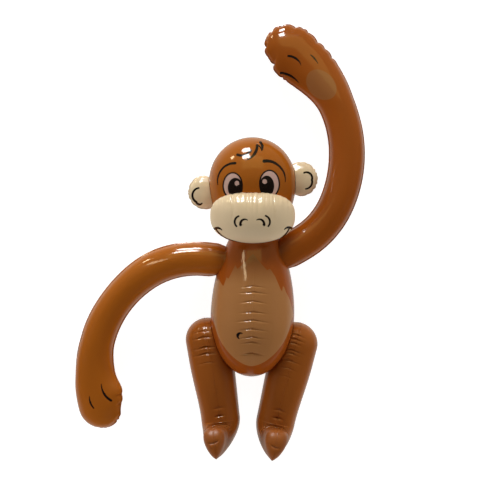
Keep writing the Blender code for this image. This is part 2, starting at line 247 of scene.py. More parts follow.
def faces_point_out(points, fans, quads):
    """True if the volume summed over all faces, (a × b) · c / 6 for each triangle, is positive."""
    triangles = np.concatenate([fans, quads[:, [0, 1, 2]], quads[:, [0, 2, 3]]])
    a, b, c = (points[triangles[:, i]] for i in range(3))
    return float(np.einsum("ij,ij->i", np.cross(a, b), c).sum()) > 0


# %% A piece of film from a grid
def film_piece(name, grid, ends, node, fields):
    """A mesh object skinned over grid, closed at the two end points, that stands for a CAD node.
    fields are values that its material reads, one for each grid point or one for them all."""
    quads, fans = grid_faces(*grid.shape[:2])
    points = np.concatenate([grid.reshape(-1, 3), np.asarray(ends, float)])
    if not faces_point_out(points, fans, quads):
        quads, fans = quads[:, ::-1], fans[:, ::-1]
    mesh = bpy.data.meshes.new(name)
    mesh.from_pydata(points.tolist(), [], quads.tolist() + fans.tolist())
    for field, values in fields.items():
        values = np.broadcast_to(values, grid.shape[:2])
        flat = np.concatenate([values.ravel(), [values[0].mean(), values[-1].mean()]])
        layer = mesh.attributes.new(field, "FLOAT", "POINT")
        layer.data.foreach_set("value", flat.astype(np.float32))
    mesh.shade_smooth()
    obj = bpy.data.objects.new(name, mesh)
    bpy.context.scene.collection.objects.link(obj)
    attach(obj, "root")
    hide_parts(node)
    print(name, "faces:", len(mesh.polygons))
    return obj


# %% [markdown]
# ## Puckers
# Two flat sheets welded along a curve and blown up have too much edge for the new shape, so the
# weld gathers into puckers: short creases that start at the weld and die out in the film, with
# rounded lobes between them. They are what makes blown-up vinyl look real. Three shapes are
# enough. A gather is a narrow groove across the weld. A lobe is the bulge between two creases,
# which gives a scalloped edge. A fold is steep on one side and slopes on the other, and where a
# chamber faces up, its slope is what tilts far enough to mirror a lamp. Their places are uneven,
# from a seeded random generator, or given one by one where the toy has a marked one.

# %% Creases that run from a weld into the film
def gathers(edge, walk, creases):
    """How far the film is drawn in. Each crease is (place, width, depth, reach, lean): with x the
    distance along the weld from its place and w the distance from the weld, it adds
    depth · exp(−|x − lean·w| / (width · (1 + w/reach))) · exp(−(w/reach)²)."""
    drawn = np.zeros(np.broadcast(edge, walk).shape)
    for place, width, depth, reach, lean in creases:
        spread = width * (1.0 + walk / reach)
        drawn += depth * np.exp(-np.abs(edge - place - lean * walk) / spread - (walk / reach) ** 2)
    return drawn


def folds(edge, walk, creases, run=2.4 * MM, drop=0.5 * MM):
    """How far the film is drawn in by folds that have a steep side before their place and a slope
    after it. Each fold is (place, depth, reach, lean). With x = edge − place − lean·w, it adds
    depth · exp(−(w/reach)²) · exp(x/drop) before its place and · (1 − x/run)^1.5 after it."""
    drawn = np.zeros(np.broadcast(edge, walk).shape)
    for place, depth, reach, lean in creases:
        x = edge - place - lean * walk
        slope = np.clip(1.0 - x / run, 0.0, 1.0) ** 1.5
        profile = np.where(x < 0, np.exp(np.minimum(x, 0.0) / drop), slope)
        drawn += depth * profile * np.exp(-((walk / reach) ** 2))
    return drawn


def lobes(edge, walk, creases, last_half=6.0 * MM):
    """How far the film is drawn in where it bulges between creases. Each crease is (place, depth,
    reach). With t = 1 at the nearest crease and 0 halfway to the next one, and w the distance from
    the weld, it is depth · t² · exp(−(w/reach)²)."""
    place, depth, reach = np.array(sorted(creases)).T
    nearest = np.searchsorted((place[1:] + place[:-1]) / 2, edge)
    halves = np.concatenate([[last_half], np.diff(place) / 2, [last_half]])
    offset = edge - place[nearest]
    t = np.clip(1.0 - np.abs(offset) / halves[nearest + (offset > 0)], 0.0, 1.0)
    return depth[nearest] * t**2 * np.exp(-((walk / reach[nearest]) ** 2))


# %% Many creases at once
def uneven_creases(dice, start, stop, pitch, width, depth, reach):
    """Creases from start to stop, about one pitch apart, each a little different."""
    count = max(1, int((stop - start) / pitch))
    places = start + (np.arange(count) + dice.uniform(0.2, 0.8, count)) * (stop - start) / count
    strength = dice.uniform(0.45, 1.25, count)
    return [
        (place, width * dice.uniform(0.8, 1.3), depth * strong, reach * dice.uniform(0.6, 1.3),
         dice.uniform(-0.35, 0.35))
        for place, strong in zip(places, strength)
    ]


def marked(edge, walk, creases, width, lobe, groove):
    """Creases given as (place, depth, reach) in millimetres: lobes that take one share of the depth,
    and a narrow groove along each crease that takes another."""
    place, depth, reach = np.array(creases).T * MM
    bulges = zip(place, lobe * depth, reach)
    grooves = [(*crease, 0.0) for crease in zip(place, 0 * place + width * MM, groove * depth, reach)]
    return lobes(edge, walk, bulges) + gathers(edge, walk, grooves)


def seam_groove(walk, depth, width=0.7 * MM):
    """How far the film is drawn in along a weld: depth · exp(−(w/width)²)."""
    return depth * np.exp(-((walk / width) ** 2))


# %% [markdown]
# ## The torso
# The torso is a bottle shape: half an ellipse from the seat to the belly, then a slow taper to the
# neck. A profile turned about an axis is the plain way to make it, and here the turn is written
# as a grid, so that the creases on its centre seam and the flat spot where it rests can be added.

# %% Sizes of the torso
AXIS_HEIGHT = 55.5 * MM
BELLY_RADIUS = 58.6 * MM
BELLY_TO_SEAT = 85.0 * MM
BELLY_TO_NECK = 114.8 * MM
NECK_TAPER = 27.3 * MM
TAPER_LENGTH = 118.0 * MM
TORSO_LEAN = math.radians(-1.7)
CONTACT_GAP = 0.3 * MM


def torso_radius(y):
    """R·√(1 − (y/seat)²) below the belly, and R − taper·(y/length)² above it."""
    seat = BELLY_RADIUS * round_end(y / BELLY_TO_SEAT)
    return np.where(y < 0, seat, BELLY_RADIUS - NECK_TAPER * (y / TAPER_LENGTH) ** 2)


def turned(points, angle):
    """The points turned about the vertical by an angle."""
    c, s = math.cos(angle), math.sin(angle)
    return points @ np.array([[c, -s, 0.0], [s, c, 0.0], [0.0, 0.0, 1.0]]).T


def outside_torso(points):
    """How far each point is outside the torso, measured straight out from its axis, and the
    points in the torso's own frame."""
    local = turned(points - [0.0, 0.0, AXIS_HEIGHT], -TORSO_LEAN)
    out = np.hypot(local[..., 0], local[..., 2]) - torso_radius(local[..., 1])
    beyond = (local[..., 1] > BELLY_TO_NECK) | (local[..., 1] < -BELLY_TO_SEAT)
    return np.where(beyond, 1.0, out), local


def clear_of_torso(points, gap=CONTACT_GAP):
    """Points inside the torso move straight away from its axis until they are a gap outside it."""
    out, local = outside_torso(points)
    radial = np.hypot(local[..., 0], local[..., 2])
    grow = np.where(out < gap, (radial - out + gap) / np.maximum(radial, 1e-6), 1.0)
    local = local * np.stack([grow, np.ones_like(grow), grow], axis=-1)
    return turned(local, TORSO_LEAN) + [0.0, 0.0, AXIS_HEIGHT]


print("torso radius at the neck, mm:", round(float(torso_radius(BELLY_TO_NECK)) / MM, 1))

# %% Rows, columns and creases of the torso
SEAT_ROWS, TAPER_ROWS, TORSO_COLUMNS = 190, 230, 216
# The first row's angle from the seat's end, and how much the columns crowd towards the front and
# the back, where the folds are.
SEAT_START, CROWDING = 0.03, 0.35
NECK_ROUND, NECK_ROUND_START, NECK_ROUND_LENGTH = 4.0 * MM, 104.0 * MM, 10.8 * MM
TORSO_SEAM_DEPTH = 0.12 * MM
SEAT_FADE = 20.0 * MM
# Folds on the front seam: places along the toy, and in mm a depth at the middle, how much it grows
# with each mm towards the seat, and the ranges of the reach and the lean.
BELLY_FOLDS_MM = (44.2, 35.8, 23.8, 9.0, -2.0, -14.2, -25.4, -32.6, -48.6)
FOLD_DEPTH, FOLD_GROWTH, FOLD_REACHES, FOLD_LEANS = 2.8, 0.028, (10.5, 14), (0.12, 0.19)
BACK_CREASES = dict(start=-70 * MM, stop=100 * MM, pitch=9 * MM, width=1.0 * MM, depth=0.9 * MM, reach=9 * MM)
NECK_CREASES = dict(start=-math.pi, stop=math.pi, pitch=0.27, width=0.035, depth=1.0 * MM, reach=9 * MM)

print("folds down the belly:", len(BELLY_FOLDS_MM))

# %% The torso's film
dice = np.random.default_rng(11)
seat_rows = -BELLY_TO_SEAT * np.cos(np.linspace(SEAT_START, 0.5 * math.pi, SEAT_ROWS))
taper_rows = np.linspace(0.0, BELLY_TO_NECK, TAPER_ROWS)[1:]
torso_y = np.concatenate([seat_rows, taper_rows])[:, None]
turn_share = np.linspace(0, 1, TORSO_COLUMNS, endpoint=False)
torso_angle = (2 * math.pi * turn_share - CROWDING * np.sin(4 * math.pi * turn_share))[None, :]
front_angle = np.arctan2(np.sin(torso_angle), np.cos(torso_angle))
back_angle = np.arctan2(np.sin(torso_angle), -np.cos(torso_angle))
neck_round = NECK_ROUND * smooth((torso_y - NECK_ROUND_START) / NECK_ROUND_LENGTH) ** 2
torso_girth = torso_radius(torso_y) - neck_round

from_front, from_back = torso_girth * np.abs(front_angle), torso_girth * np.abs(back_angle)
belly_folds = [
    (
        -y * MM, (FOLD_DEPTH - FOLD_GROWTH * y) * MM,
        dice.uniform(*FOLD_REACHES) * MM, dice.uniform(*FOLD_LEANS),
    )
    for y in BELLY_FOLDS_MM
]
torso_relief = folds(-torso_y, from_front, belly_folds)
torso_relief += gathers(torso_y, from_back, uneven_creases(dice, **BACK_CREASES))
torso_relief += gathers(front_angle, BELLY_TO_NECK - torso_y, uneven_creases(dice, **NECK_CREASES))
torso_relief += seam_groove(from_front, TORSO_SEAM_DEPTH) + seam_groove(from_back, TORSO_SEAM_DEPTH)
torso_relief *= smooth((torso_y + BELLY_TO_SEAT) / SEAT_FADE)
torso_slope = np.gradient(torso_girth[:, 0], torso_y[:, 0])[:, None]
drawn_in = torso_relief / np.sqrt(1.0 + torso_slope**2)
girth = torso_girth - drawn_in
torso_points = np.stack(
    [girth * np.sin(torso_angle), torso_y + drawn_in * torso_slope, girth * np.cos(torso_angle)], axis=-1,
)
torso_ends = np.array([[0.0, -BELLY_TO_SEAT, 0.0], [0.0, BELLY_TO_NECK, 0.0]])
torso_points, torso_ends = (
    turned(points, TORSO_LEAN) + [0.0, 0.0, AXIS_HEIGHT] for points in (torso_points, torso_ends)
)
torso_points[..., 2] = np.maximum(torso_points[..., 2], 0.0)
print("torso points:", torso_points.shape)

# %% [markdown]
# The belly carries a printed tan patch with a fur fringe along its top and down one side. Its edge
# is worked out here as a distance in millimetres, positive inside, and kept as a value on every
# point: the material only has to ask whether the value is above zero, so the print's edge stays
# crisp. Towards the neck the print darkens into a deeper tan, which is painted shade: the shadow
# that the muzzle casts on the neck.

# %% The edge of the belly print
FRINGE = np.array([
    (-112, 30), (-101, 47), (-96, 38), (-88, 58), (-72, 47), (-64, 51), (-48.7, 41.4), (-44.8, 54.9),
    (-41.0, 51.5), (-32.3, 71.4), (-26.9, 66.1), (-3.1, 87.9), (20.7, 65.7), (26.2, 67.8),
    (33.9, 57.4), (44.1, 35.3), (48.2, 46.5), (53, 36), (62.5, 25), (74, 4), (82, -6), (90, 12),
    (98, 38), (112, 30),
])
PATCH_CENTRE, PATCH_DROP = 24.4 * MM, 91.4 * MM
# How far round the patch reaches, in degrees, and how far it flares above a height, in mm.
PATCH_WRAP, PATCH_FLARE, FLARE_START, FLARE_LENGTH = 70.0, 27.0, -5.0, 25.0
MM_PER_DEGREE = 0.95
PRINT_LIMIT = 20


def distance_to_line(x, y, corners):
    """The least distance from each point to a line of straight stretches, and the height of the
    line above each x."""
    nearest = np.full(x.shape, np.inf)
    for (x0, y0), (dx, dy) in zip(corners, np.diff(corners, axis=0)):
        share = np.clip(((x - x0) * dx + (y - y0) * dy) / (dx**2 + dy**2), 0.0, 1.0)
        nearest = np.minimum(nearest, np.hypot(x - x0 - share * dx, y - y0 - share * dy))
    return nearest, np.interp(x, corners[:, 0], corners[:, 1])


degrees = np.degrees(front_angle) + 0 * torso_y
y_mm = torso_y / MM + 0 * degrees
nearest, fringe_height = distance_to_line(degrees * MM_PER_DEGREE, y_mm, FRINGE * [MM_PER_DEGREE, 1.0])
below_fringe = np.where(y_mm < fringe_height, nearest, -nearest)
wrap = PATCH_WRAP + PATCH_FLARE * smooth((y_mm - FLARE_START) / FLARE_LENGTH)
wrap = wrap * round_end(np.minimum(torso_y - PATCH_CENTRE, 0.0) / PATCH_DROP)
inside_sides = np.radians(wrap - np.abs(degrees)) * torso_girth / MM
below_patch = (PATCH_CENTRE - PATCH_DROP - torso_y) / MM
inside_sides = np.where(below_patch > 0, -1.0 - below_patch, inside_sides)
belly_print = np.clip(np.minimum(below_fringe, inside_sides), -PRINT_LIMIT, PRINT_LIMIT)
torso = film_piece(
    "torso_film", torso_points, torso_ends, "torso",
    {"belly_print": belly_print, "front": np.cos(torso_angle), "weld": 0.0},
)

# %% [markdown]
# ## The head
# An egg whose crown is blunter than its chin, cut flat where it is welded to the neck. A sphere's
# points are stretched to it: one formula, with a longer reach below the middle than above it.

# %% Sizes of the head
HEAD_CENTRE_Y = 187.6 * MM
HEAD_HALF_WIDTH = 61.0 * MM
HEAD_HALF_DEPTH = 57.0 * MM
CROWN_UP = 63.0 * MM
CHIN_DOWN = 81.0 * MM
NECK_PLANE = BELLY_TO_NECK + 1.4 * MM
HEAD_ROWS, HEAD_COLUMNS = 210, 280
RIM_CREASES = dict(start=0.0, stop=2 * math.pi, pitch=0.16, width=0.014, depth=0.25 * MM, reach=5 * MM)
HEAD_SEAM_DEPTH = 0.2 * MM


def ball_directions(rows, columns):
    """Points of a sphere of radius 1, row by row from its front pole to its back pole:
    (sin θ cos ψ, sin θ sin ψ, cos θ). Returns the points, θ and ψ."""
    polar = np.linspace(0, math.pi, rows + 2)[1:-1, None]
    round_it = np.linspace(0, 2 * math.pi, columns, endpoint=False)[None, :]
    flat, high = np.sin(polar), np.cos(polar) + 0 * round_it
    return np.stack([flat * np.cos(round_it), flat * np.sin(round_it), high], axis=-1), polar, round_it


def head_reach(y):
    """The crown's reach above the middle of the head, and the chin's below it."""
    return np.where(y > 0, CROWN_UP, CHIN_DOWN)


def head_norm(points):
    """Below 1 inside the head, 1 on its film and above 1 outside it."""
    away = points - [0.0, HEAD_CENTRE_Y, AXIS_HEIGHT]
    return np.sqrt(
        (away[..., 0] / HEAD_HALF_WIDTH) ** 2
        + (away[..., 1] / head_reach(away[..., 1])) ** 2
        + (away[..., 2] / HEAD_HALF_DEPTH) ** 2
    )


def head_front(x, y):
    """Height of the head's front film over a point of the floor, or 0 where there is no head."""
    rise = 1.0 - (x / HEAD_HALF_WIDTH) ** 2 - ((y - HEAD_CENTRE_Y) / head_reach(y - HEAD_CENTRE_Y)) ** 2
    return np.where(rise > 0, AXIS_HEIGHT + HEAD_HALF_DEPTH * np.sqrt(np.maximum(rise, 0)), 0.0)


head_size = 2 * HEAD_HALF_WIDTH, CROWN_UP + CHIN_DOWN, 2 * HEAD_HALF_DEPTH
print("head before it is cut flat, mm:", [round(size / MM) for size in head_size])

# %% The head's film
ball, polar, round_it = ball_directions(HEAD_ROWS, HEAD_COLUMNS)
reach_y = head_reach(ball[..., 1])
head_scale = np.stack([0 * reach_y + HEAD_HALF_WIDTH, reach_y, 0 * reach_y + HEAD_HALF_DEPTH], axis=-1)
from_rim = np.abs(polar - 0.5 * math.pi) * HEAD_HALF_WIDTH
head_relief = gathers(round_it, from_rim, uneven_creases(dice, **RIM_CREASES))
head_relief += seam_groove(from_rim, HEAD_SEAM_DEPTH)
head_points = ball * (head_scale - head_relief[..., None]) + [0.0, HEAD_CENTRE_Y, AXIS_HEIGHT]
head_ends = np.array([[0, HEAD_CENTRE_Y, AXIS_HEIGHT + end * HEAD_HALF_DEPTH] for end in (1, -1)])
head_points[..., 1] = np.maximum(head_points[..., 1], NECK_PLANE)
for points in (head_points, head_ends):
    points[..., 2] = np.maximum(points[..., 2], 0.0)
fields = {"front": ball[..., 2], "weld": 0.0}
head = film_piece("head_film", head_points, head_ends, "head", fields)

# %% [markdown]
# ## The muzzle
# A squarish oval pillow that follows the face. Its upper edge is gathered into narrow pleats,
# which cut one long bright mark into a row of short ones. They are kept narrow, because a wide
# pleat turns the film away from the lamp and the mark is lost. The pillow's back is pressed onto
# the head and the neck, as the welded film of the real one is.

# %% Sizes of the muzzle
MUZZLE_CENTRE = np.array([0.0, 136.5, 103.5]) * MM
MUZZLE_HALF_WIDTH = 58.5 * MM
MUZZLE_HALF_HEIGHT = 35.0 * MM
MUZZLE_HALF_DEPTH = 27.0 * MM
MUZZLE_SQUARENESS = 2.5
MUZZLE_TILT = math.radians(13.6)
MUZZLE_WRAP = 14.0 * MM
MUZZLE_ROWS, MUZZLE_COLUMNS = 200, 400
# Each pleat: place across the muzzle, and how deep it is and how far down it reaches, in mm.
PLEATS = (
    (-48.0, 1.0, 14), (-41.0, 1.1, 18), (-34.5, 0.7, 18), (-27.6, 2.2, 29), (-18.5, 0.7, 20),
    (-8.4, 1.9, 28), (-4.4, 1.4, 26), (0.2, 1.6, 28), (7.4, 2.0, 30), (10.0, 1.0, 26),
    (17.0, 0.8, 22), (23.6, 1.2, 25), (28.6, 2.2, 31), (36.0, 0.8, 20), (42.0, 1.0, 18), (49.0, 1.2, 16),
)
# A pleat is a narrow groove with a little of its depth in the bulges between; at the very edge it
# has this share of its depth, and the rest within the length.
PLEAT = dict(width=0.8, lobe=0.12, groove=1.0)
EDGE_SHARE, EDGE_LENGTH = 0.4, 9 * MM
# The pleats are on the upper part, which starts at this sine of the angle round the pillow.
TOP_START, TOP_RUN, LEAST_FLAT = -0.15, 0.5, 0.3
UNDER_CREASES = dict(start=-0.055, stop=0.055, pitch=11 * MM, width=1.3 * MM, depth=0.35 * MM, reach=8 * MM)
print("muzzle pleats:", len(PLEATS))

# %% The muzzle's film
ball, polar, round_it = ball_directions(MUZZLE_ROWS, MUZZLE_COLUMNS)
x, y, z = (ball[..., i] for i in range(3))
muzzle_halves = np.array([MUZZLE_HALF_WIDTH, MUZZLE_HALF_HEIGHT, MUZZLE_HALF_DEPTH])
flat = np.hypot(x, y)
squared = (np.abs(x) ** MUZZLE_SQUARENESS + np.abs(y) ** MUZZLE_SQUARENESS) ** (1 / MUZZLE_SQUARENESS)
pillow = np.stack([x * flat / squared, y * flat / squared, z], axis=-1) * muzzle_halves
top_share = smooth((y / flat - TOP_START) / TOP_RUN)
from_top = np.hypot((1.0 - flat) * MUZZLE_HALF_HEIGHT, pillow[..., 2])
pleat_relief = marked(pillow[..., 0], from_top, PLEATS, **PLEAT)
pleat_relief *= top_share * (EDGE_SHARE + (1 - EDGE_SHARE) * smooth(from_top / EDGE_LENGTH))
under_place = pillow[..., 0] / np.maximum(flat, LEAST_FLAT)
pleat_relief += gathers(under_place, from_top, uneven_creases(dice, **UNDER_CREASES)) * (1 - top_share)
pillow -= unit(ball / muzzle_halves) * pleat_relief[..., None]
pillow[..., 2] -= MUZZLE_WRAP * (pillow[..., 0] / MUZZLE_HALF_WIDTH) ** 2
c, s = math.cos(MUZZLE_TILT), math.sin(MUZZLE_TILT)
tilt_back = np.array([[1, 0, 0], [0, c, -s], [0, s, c]])
pillow_ends = np.array([[0, 0, MUZZLE_HALF_DEPTH], [0, 0, -MUZZLE_HALF_DEPTH]])
muzzle_points, muzzle_ends = (points @ tilt_back.T + MUZZLE_CENTRE for points in (pillow, pillow_ends))


def torso_front(x, y):
    """Height of the torso's front film over a point of the floor, or 0 beyond the neck."""
    across = x + y * math.tan(TORSO_LEAN)
    rise = torso_radius(y) ** 2 - across**2
    return np.where((rise > 0) & (y < BELLY_TO_NECK), AXIS_HEIGHT + np.sqrt(np.maximum(rise, 0)), 0.0)


for points in (muzzle_points, muzzle_ends):
    under = np.maximum(*(front(points[..., 0], points[..., 1]) for front in (head_front, torso_front)))
    points[..., 2] = np.maximum(points[..., 2], under + CONTACT_GAP)
fields = {"front": z, "weld": 0.0}
muzzle = film_piece("muzzle_film", muzzle_points, muzzle_ends, "muzzle", fields)

# %% [markdown]
# ## Chambers with a welded rim
# Arms, ears and legs are flat-cut chambers: a front and a back sheet welded all round. Their
# section is an oval, and where the two sheets meet, a narrow flat lip of doubled film stands out.
# One function makes them all. It takes the line down the middle, the half width and half depth
# along it, and how far puckers draw the film in.

# %% The section of a welded chamber
# The columns between two welds crowd towards them.
HALF_COLUMNS, WELD_CROWDING = 46, 0.75
SEAM_ANGLE = 0.012
LIP_HALF_THICKNESS = 0.3 * MM

half_turn = np.linspace(0, 1, HALF_COLUMNS)
half_turn = half_turn - WELD_CROWDING * np.sin(2 * math.pi * half_turn) / (2 * math.pi)
half_angles = SEAM_ANGLE + (math.pi - 2 * SEAM_ANGLE) * half_turn
AROUND = np.concatenate([half_angles, [math.pi] * 2, math.pi + half_angles, [2 * math.pi] * 2])[None, :]
ON_LIP = np.concatenate([0 * half_angles, [1, 1], 0 * half_angles, [1, 1]])[None, :]
LIP_FACE = np.concatenate([0 * half_angles, [1, -1], 0 * half_angles, [-1, 1]])[None, :]
FIRST_WELD = 2 * HALF_COLUMNS + 3
SECOND_WELD = HALF_COLUMNS
print("columns round a chamber:", AROUND.shape[1])


def full_share(fullness):
    """|sin v|^(2·fullness), which is an ellipse at 0.5 and slimmer beside the welds above it."""
    return np.abs(np.sin(AROUND)) ** (2 * fullness)


def section(wide, deep, share):
    """Half width · cos v across, and half depth · share up or down. The share is 0 at the welds."""
    rise = np.where(ON_LIP > 0, 0.0, np.sign(np.sin(AROUND)) * share)
    return wide * np.cos(AROUND), deep * rise


def placed(line, across, rise):
    """centre + side · across + up · rise."""
    return line["centre"] + line["side"] * across[..., None] + line["up"] * rise[..., None]


# %% One function for every welded chamber
def weld_distances(line, wide, deep, share):
    """For each point, the distance along its nearer weld from the chamber's far end, and the
    distance from that weld across the film."""
    across, rise = section(wide, deep, share)
    walk = np.hypot(np.abs(wide) - np.abs(across), rise)
    edges = []
    for column, sign in ((FIRST_WELD, 1.0), (SECOND_WELD, -1.0)):
        seam = line["centre"][:, column] + sign * line["side"][:, column] * wide[:, column, None]
        steps = np.linalg.norm(np.diff(seam, axis=0), axis=-1)
        edges.append(np.concatenate([[0.0], np.cumsum(steps[::-1])])[::-1, None])
    first = np.cos(AROUND) > 0
    return np.where(first, edges[0], edges[1]), walk, first


def chamber_points(line, station, wide, deep, share, relief, lip):
    """centre + side·(half width·cos v) + up·(half depth·share), moved inwards by relief along the
    film's own normal, with the lip's points pushed out from the weld by its width."""
    along = np.gradient(station, axis=0)
    wide_slope, deep_slope = np.gradient(wide, axis=0) / along, np.gradient(deep, axis=0) / along
    across, rise = section(wide, deep, share)
    cos, sin = np.cos(AROUND), np.where(ON_LIP > 0, 0.0, np.sin(AROUND))
    out_side, out_up = deep * cos, wide * sin
    out_ahead = -(out_side * wide_slope * cos + out_up * deep_slope * sin)
    parts = (line["side"], out_side), (line["up"], out_up), (line["ahead"], out_ahead)
    out = unit(sum(direction * size[..., None] for direction, size in parts))
    push = ON_LIP * lip - relief
    return placed(line, across, rise + LIP_FACE * LIP_HALF_THICKNESS) + out * push[..., None]


# %% [markdown]
# An arm starts on the curved side of the torso, so its root isn't a flat ring: each column of the
# grid starts where it leaves the torso. The columns' starting points are found first, and their
# offsets fade out along the arm. The root is then closed by rings that shrink along the torso.

# %% Roots that fit the body they are welded to
TRIAL_ROWS, ROOT_RINGS = 400, 5


def rooted_stations(line_at, sizes_at, rows, is_inside, search, fade):
    """The station of every point of a chamber, and its distance from the root. A column starts at
    the last trial station that is still inside the body, and the offsets end after the fade."""
    columns = AROUND.shape[1]
    trial = np.linspace(*search, TRIAL_ROWS)[:, None] + np.zeros(columns)
    inside = is_inside(placed(line_at(trial), *section(*sizes_at(trial))))
    last = TRIAL_ROWS - 1 - np.argmax(inside[::-1], axis=0)
    leaving = trial[np.where(inside.any(axis=0), last, 0), np.arange(columns)]
    start = leaving.min()
    level = start + rows[:, None] * (rows[-1] - start) / rows[-1]
    station = level + (leaving - start) * (1.0 - smooth((level - start) / fade))
    return station, station - leaving


def root_relief(from_root, creases, dip, length):
    """Creases round the root, and the film's dip into its weld: dip · exp(−distance/length)."""
    from_root = np.maximum(from_root, 0.0)
    return gathers(AROUND + 0 * from_root, from_root, creases) + dip * np.exp(-from_root / length)


def rooted_piece(name, grid, tip, onto, lip_weld):
    """Closes the root by rings that shrink to the middle of the first row, each laid onto the body
    by onto, and makes the piece."""
    middle = grid[0].mean(axis=0)
    shares = np.arange(1, ROOT_RINGS + 1) / (ROOT_RINGS + 1)
    rings = np.array([onto(middle + (grid[0] - middle) * share) for share in shares])
    weld = np.concatenate([np.zeros(rings.shape[:2]), lip_weld * ON_LIP + np.zeros(grid.shape[:2])])
    grid = np.concatenate([rings, grid])
    grid[..., 2] = np.maximum(grid[..., 2], 0.0)
    ends = onto(middle[None, :])[0], tip
    return film_piece(name + "_film", grid, ends, name, {"front": np.sin(AROUND), "weld": weld})


# %% [markdown]
# ## The arms
# Each arm is a long tube that bends in two arcs and spreads into a flat mitten of a hand. Its edges
# aren't quite parallel: broad hollows and bulges, listed for each edge, vary the width. The hand's
# rim is scalloped by lobes and creases, since the film there has the tightest curve to follow. The
# left arm is raised over the head, the right one hangs, and both slope down to the surface that
# the toy lies on.

# %% Sizes of the arms
ARM_ROOT = 30.0 * MM
WRIST_TO_PALM = 98.0 * MM
HAND_FULLNESS = 0.56
TIP_FADE = 20.0 * MM
LIP_WIDTH = 1.4 * MM
LIP_INSET = 1.2 * MM
ARMS = {
    "left_arm": dict(
        shoulder=(0.0671, 0.1017), heading=30.6, bends=((0.1269, 34.5), (0.1768, 94.3)), tube=0.0254,
        palm=0.0388, palm_depth=0.0190, end=0.047, turn=0.0, droop_heading=90.0, droop=7.8,
        # Broad hollows in each edge: millimetres from the fingertips, half length, and depth,
        # negative where the edge bulges.
        inner_hollows=((21, 12, 5.0), (98, 46, -2.2), (328, 60, 1.8)),
        outer_hollows=((12, 14, -2.6), (40, 10, -1.0), (62, 16, 1.6), (126, 22, -1.6)),
        # Marked creases: millimetres along the weld from the fingertip, depth, and reach.
        inner=((11, 3.2, 7), (26, 0.5, 6), (40, 3.8, 9), (53, 0.4, 6), (64, 1.6, 7), (70, 1.0, 6),
               (82, 0.2, 6)),
        outer=((14, 2.2, 6), (30, 2.8, 7), (51, 3.0, 9), (62, 1.2, 6), (71, 2.0, 7), (91, 2.6, 9),
               (105, 1.6, 7), (122, 2.2, 9), (136, 0.3, 6)),
    ),
    "right_arm": dict(
        shoulder=(-0.0624, 0.0798), heading=173.2, bends=((0.1333, 39.1), (0.1620, 88.6)), tube=0.0245,
        palm=0.0375, palm_depth=0.0200, end=0.034, turn=26.0, droop_heading=237.0, droop=6.0,
        inner_hollows=((20, 9, 4.0), (52, 17, -6.0)),
        outer_hollows=((24, 20, -2.8), (82, 22, 2.0), (198, 52, 2.5), (322, 40, 1.3)),
        inner=((15, 1.8, 6), (21, 1.0, 5), (31, 0.4, 5), (43, 2.2, 7), (57, 2.4, 8), (69, 0.3, 6)),
        outer=((5, 0.8, 6), (13, 0.5, 5), (22, 1.6, 6), (34, 0.3, 5), (44, 1.2, 6), (58, 0.3, 6)),
    ),
}
print("marked creases:", {name: len(sizes["inner"] + sizes["outer"]) for name, sizes in ARMS.items()})

# %% The line and the section of an arm
def arm_length(sizes):
    """The root and the arcs together."""
    return ARM_ROOT + sum(radius * math.radians(sweep) for radius, sweep in sizes["bends"])


def arc_line(station, bends, root):
    """Across a straight root and then circular arcs: x grows by r·(sin(a + s/r) − sin a) and y by
    r·(cos a − cos(a + s/r)) over a distance s on an arc of radius r. Returns x, y and the heading."""
    x = np.minimum(station, root)
    y, heading = np.zeros_like(station), np.zeros_like(station)
    start = root
    for radius, sweep in bends:
        length = radius * math.radians(sweep)
        swept = np.clip(station - start, 0.0, length) / radius
        x = x + radius * (np.sin(heading + swept) - np.sin(heading))
        y = y + radius * (np.cos(heading) - np.cos(heading + swept))
        heading = heading + swept
        start += length
    return x, y, heading


def turn_about(axis, angle):
    """The matrix of a turn about an axis: I + sin·K + (1 − cos)·K²."""
    x, y, z = axis
    cross = np.array([[0, -z, y], [z, 0, -x], [-y, x, 0]])
    return np.eye(3) + math.sin(angle) * cross + (1 - math.cos(angle)) * cross @ cross


def toward_palm(station, sizes):
    """0 before the wrist, and 1 from the middle of the palm on."""
    palm = arm_length(sizes) - sizes["end"]
    return smooth((station - palm + WRIST_TO_PALM) / WRIST_TO_PALM)


def arm_line(station, sizes):
    """The middle of an arm and the three directions of its section, in the toy's frame."""
    x, y, heading = arc_line(station, sizes["bends"], ARM_ROOT)
    zero = np.zeros_like(x)
    twist = math.radians(sizes["turn"]) * toward_palm(station, sizes)
    flat_side = np.stack([-np.sin(heading), np.cos(heading), zero], axis=-1)
    upward = np.stack([zero, zero, zero + 1.0], axis=-1)
    cos, sin = np.cos(twist)[..., None], np.sin(twist)[..., None]
    toward = math.radians(sizes["droop_heading"])
    droop = turn_about((-math.sin(toward), math.cos(toward), 0.0), math.radians(sizes["droop"]))
    place = droop @ turn_about((0.0, 0.0, 1.0), math.radians(sizes["heading"]))
    shoulder = np.array([*sizes["shoulder"], AXIS_HEIGHT])
    return dict(
        centre=np.stack([x - ARM_ROOT, y, zero], axis=-1) @ place.T + shoulder,
        side=(flat_side * cos + upward * sin) @ place.T,
        up=(upward * cos - flat_side * sin) @ place.T,
        ahead=np.stack([np.cos(heading), np.sin(heading), zero], axis=-1) @ place.T,
    )


def hollow(places, from_tip):
    """How far an edge is drawn in: the sum of depth · exp(−((x − place) / half length)²)."""
    return sum(deep * MM * np.exp(-(((from_tip / MM - place) / half) ** 2)) for place, half, deep in places)


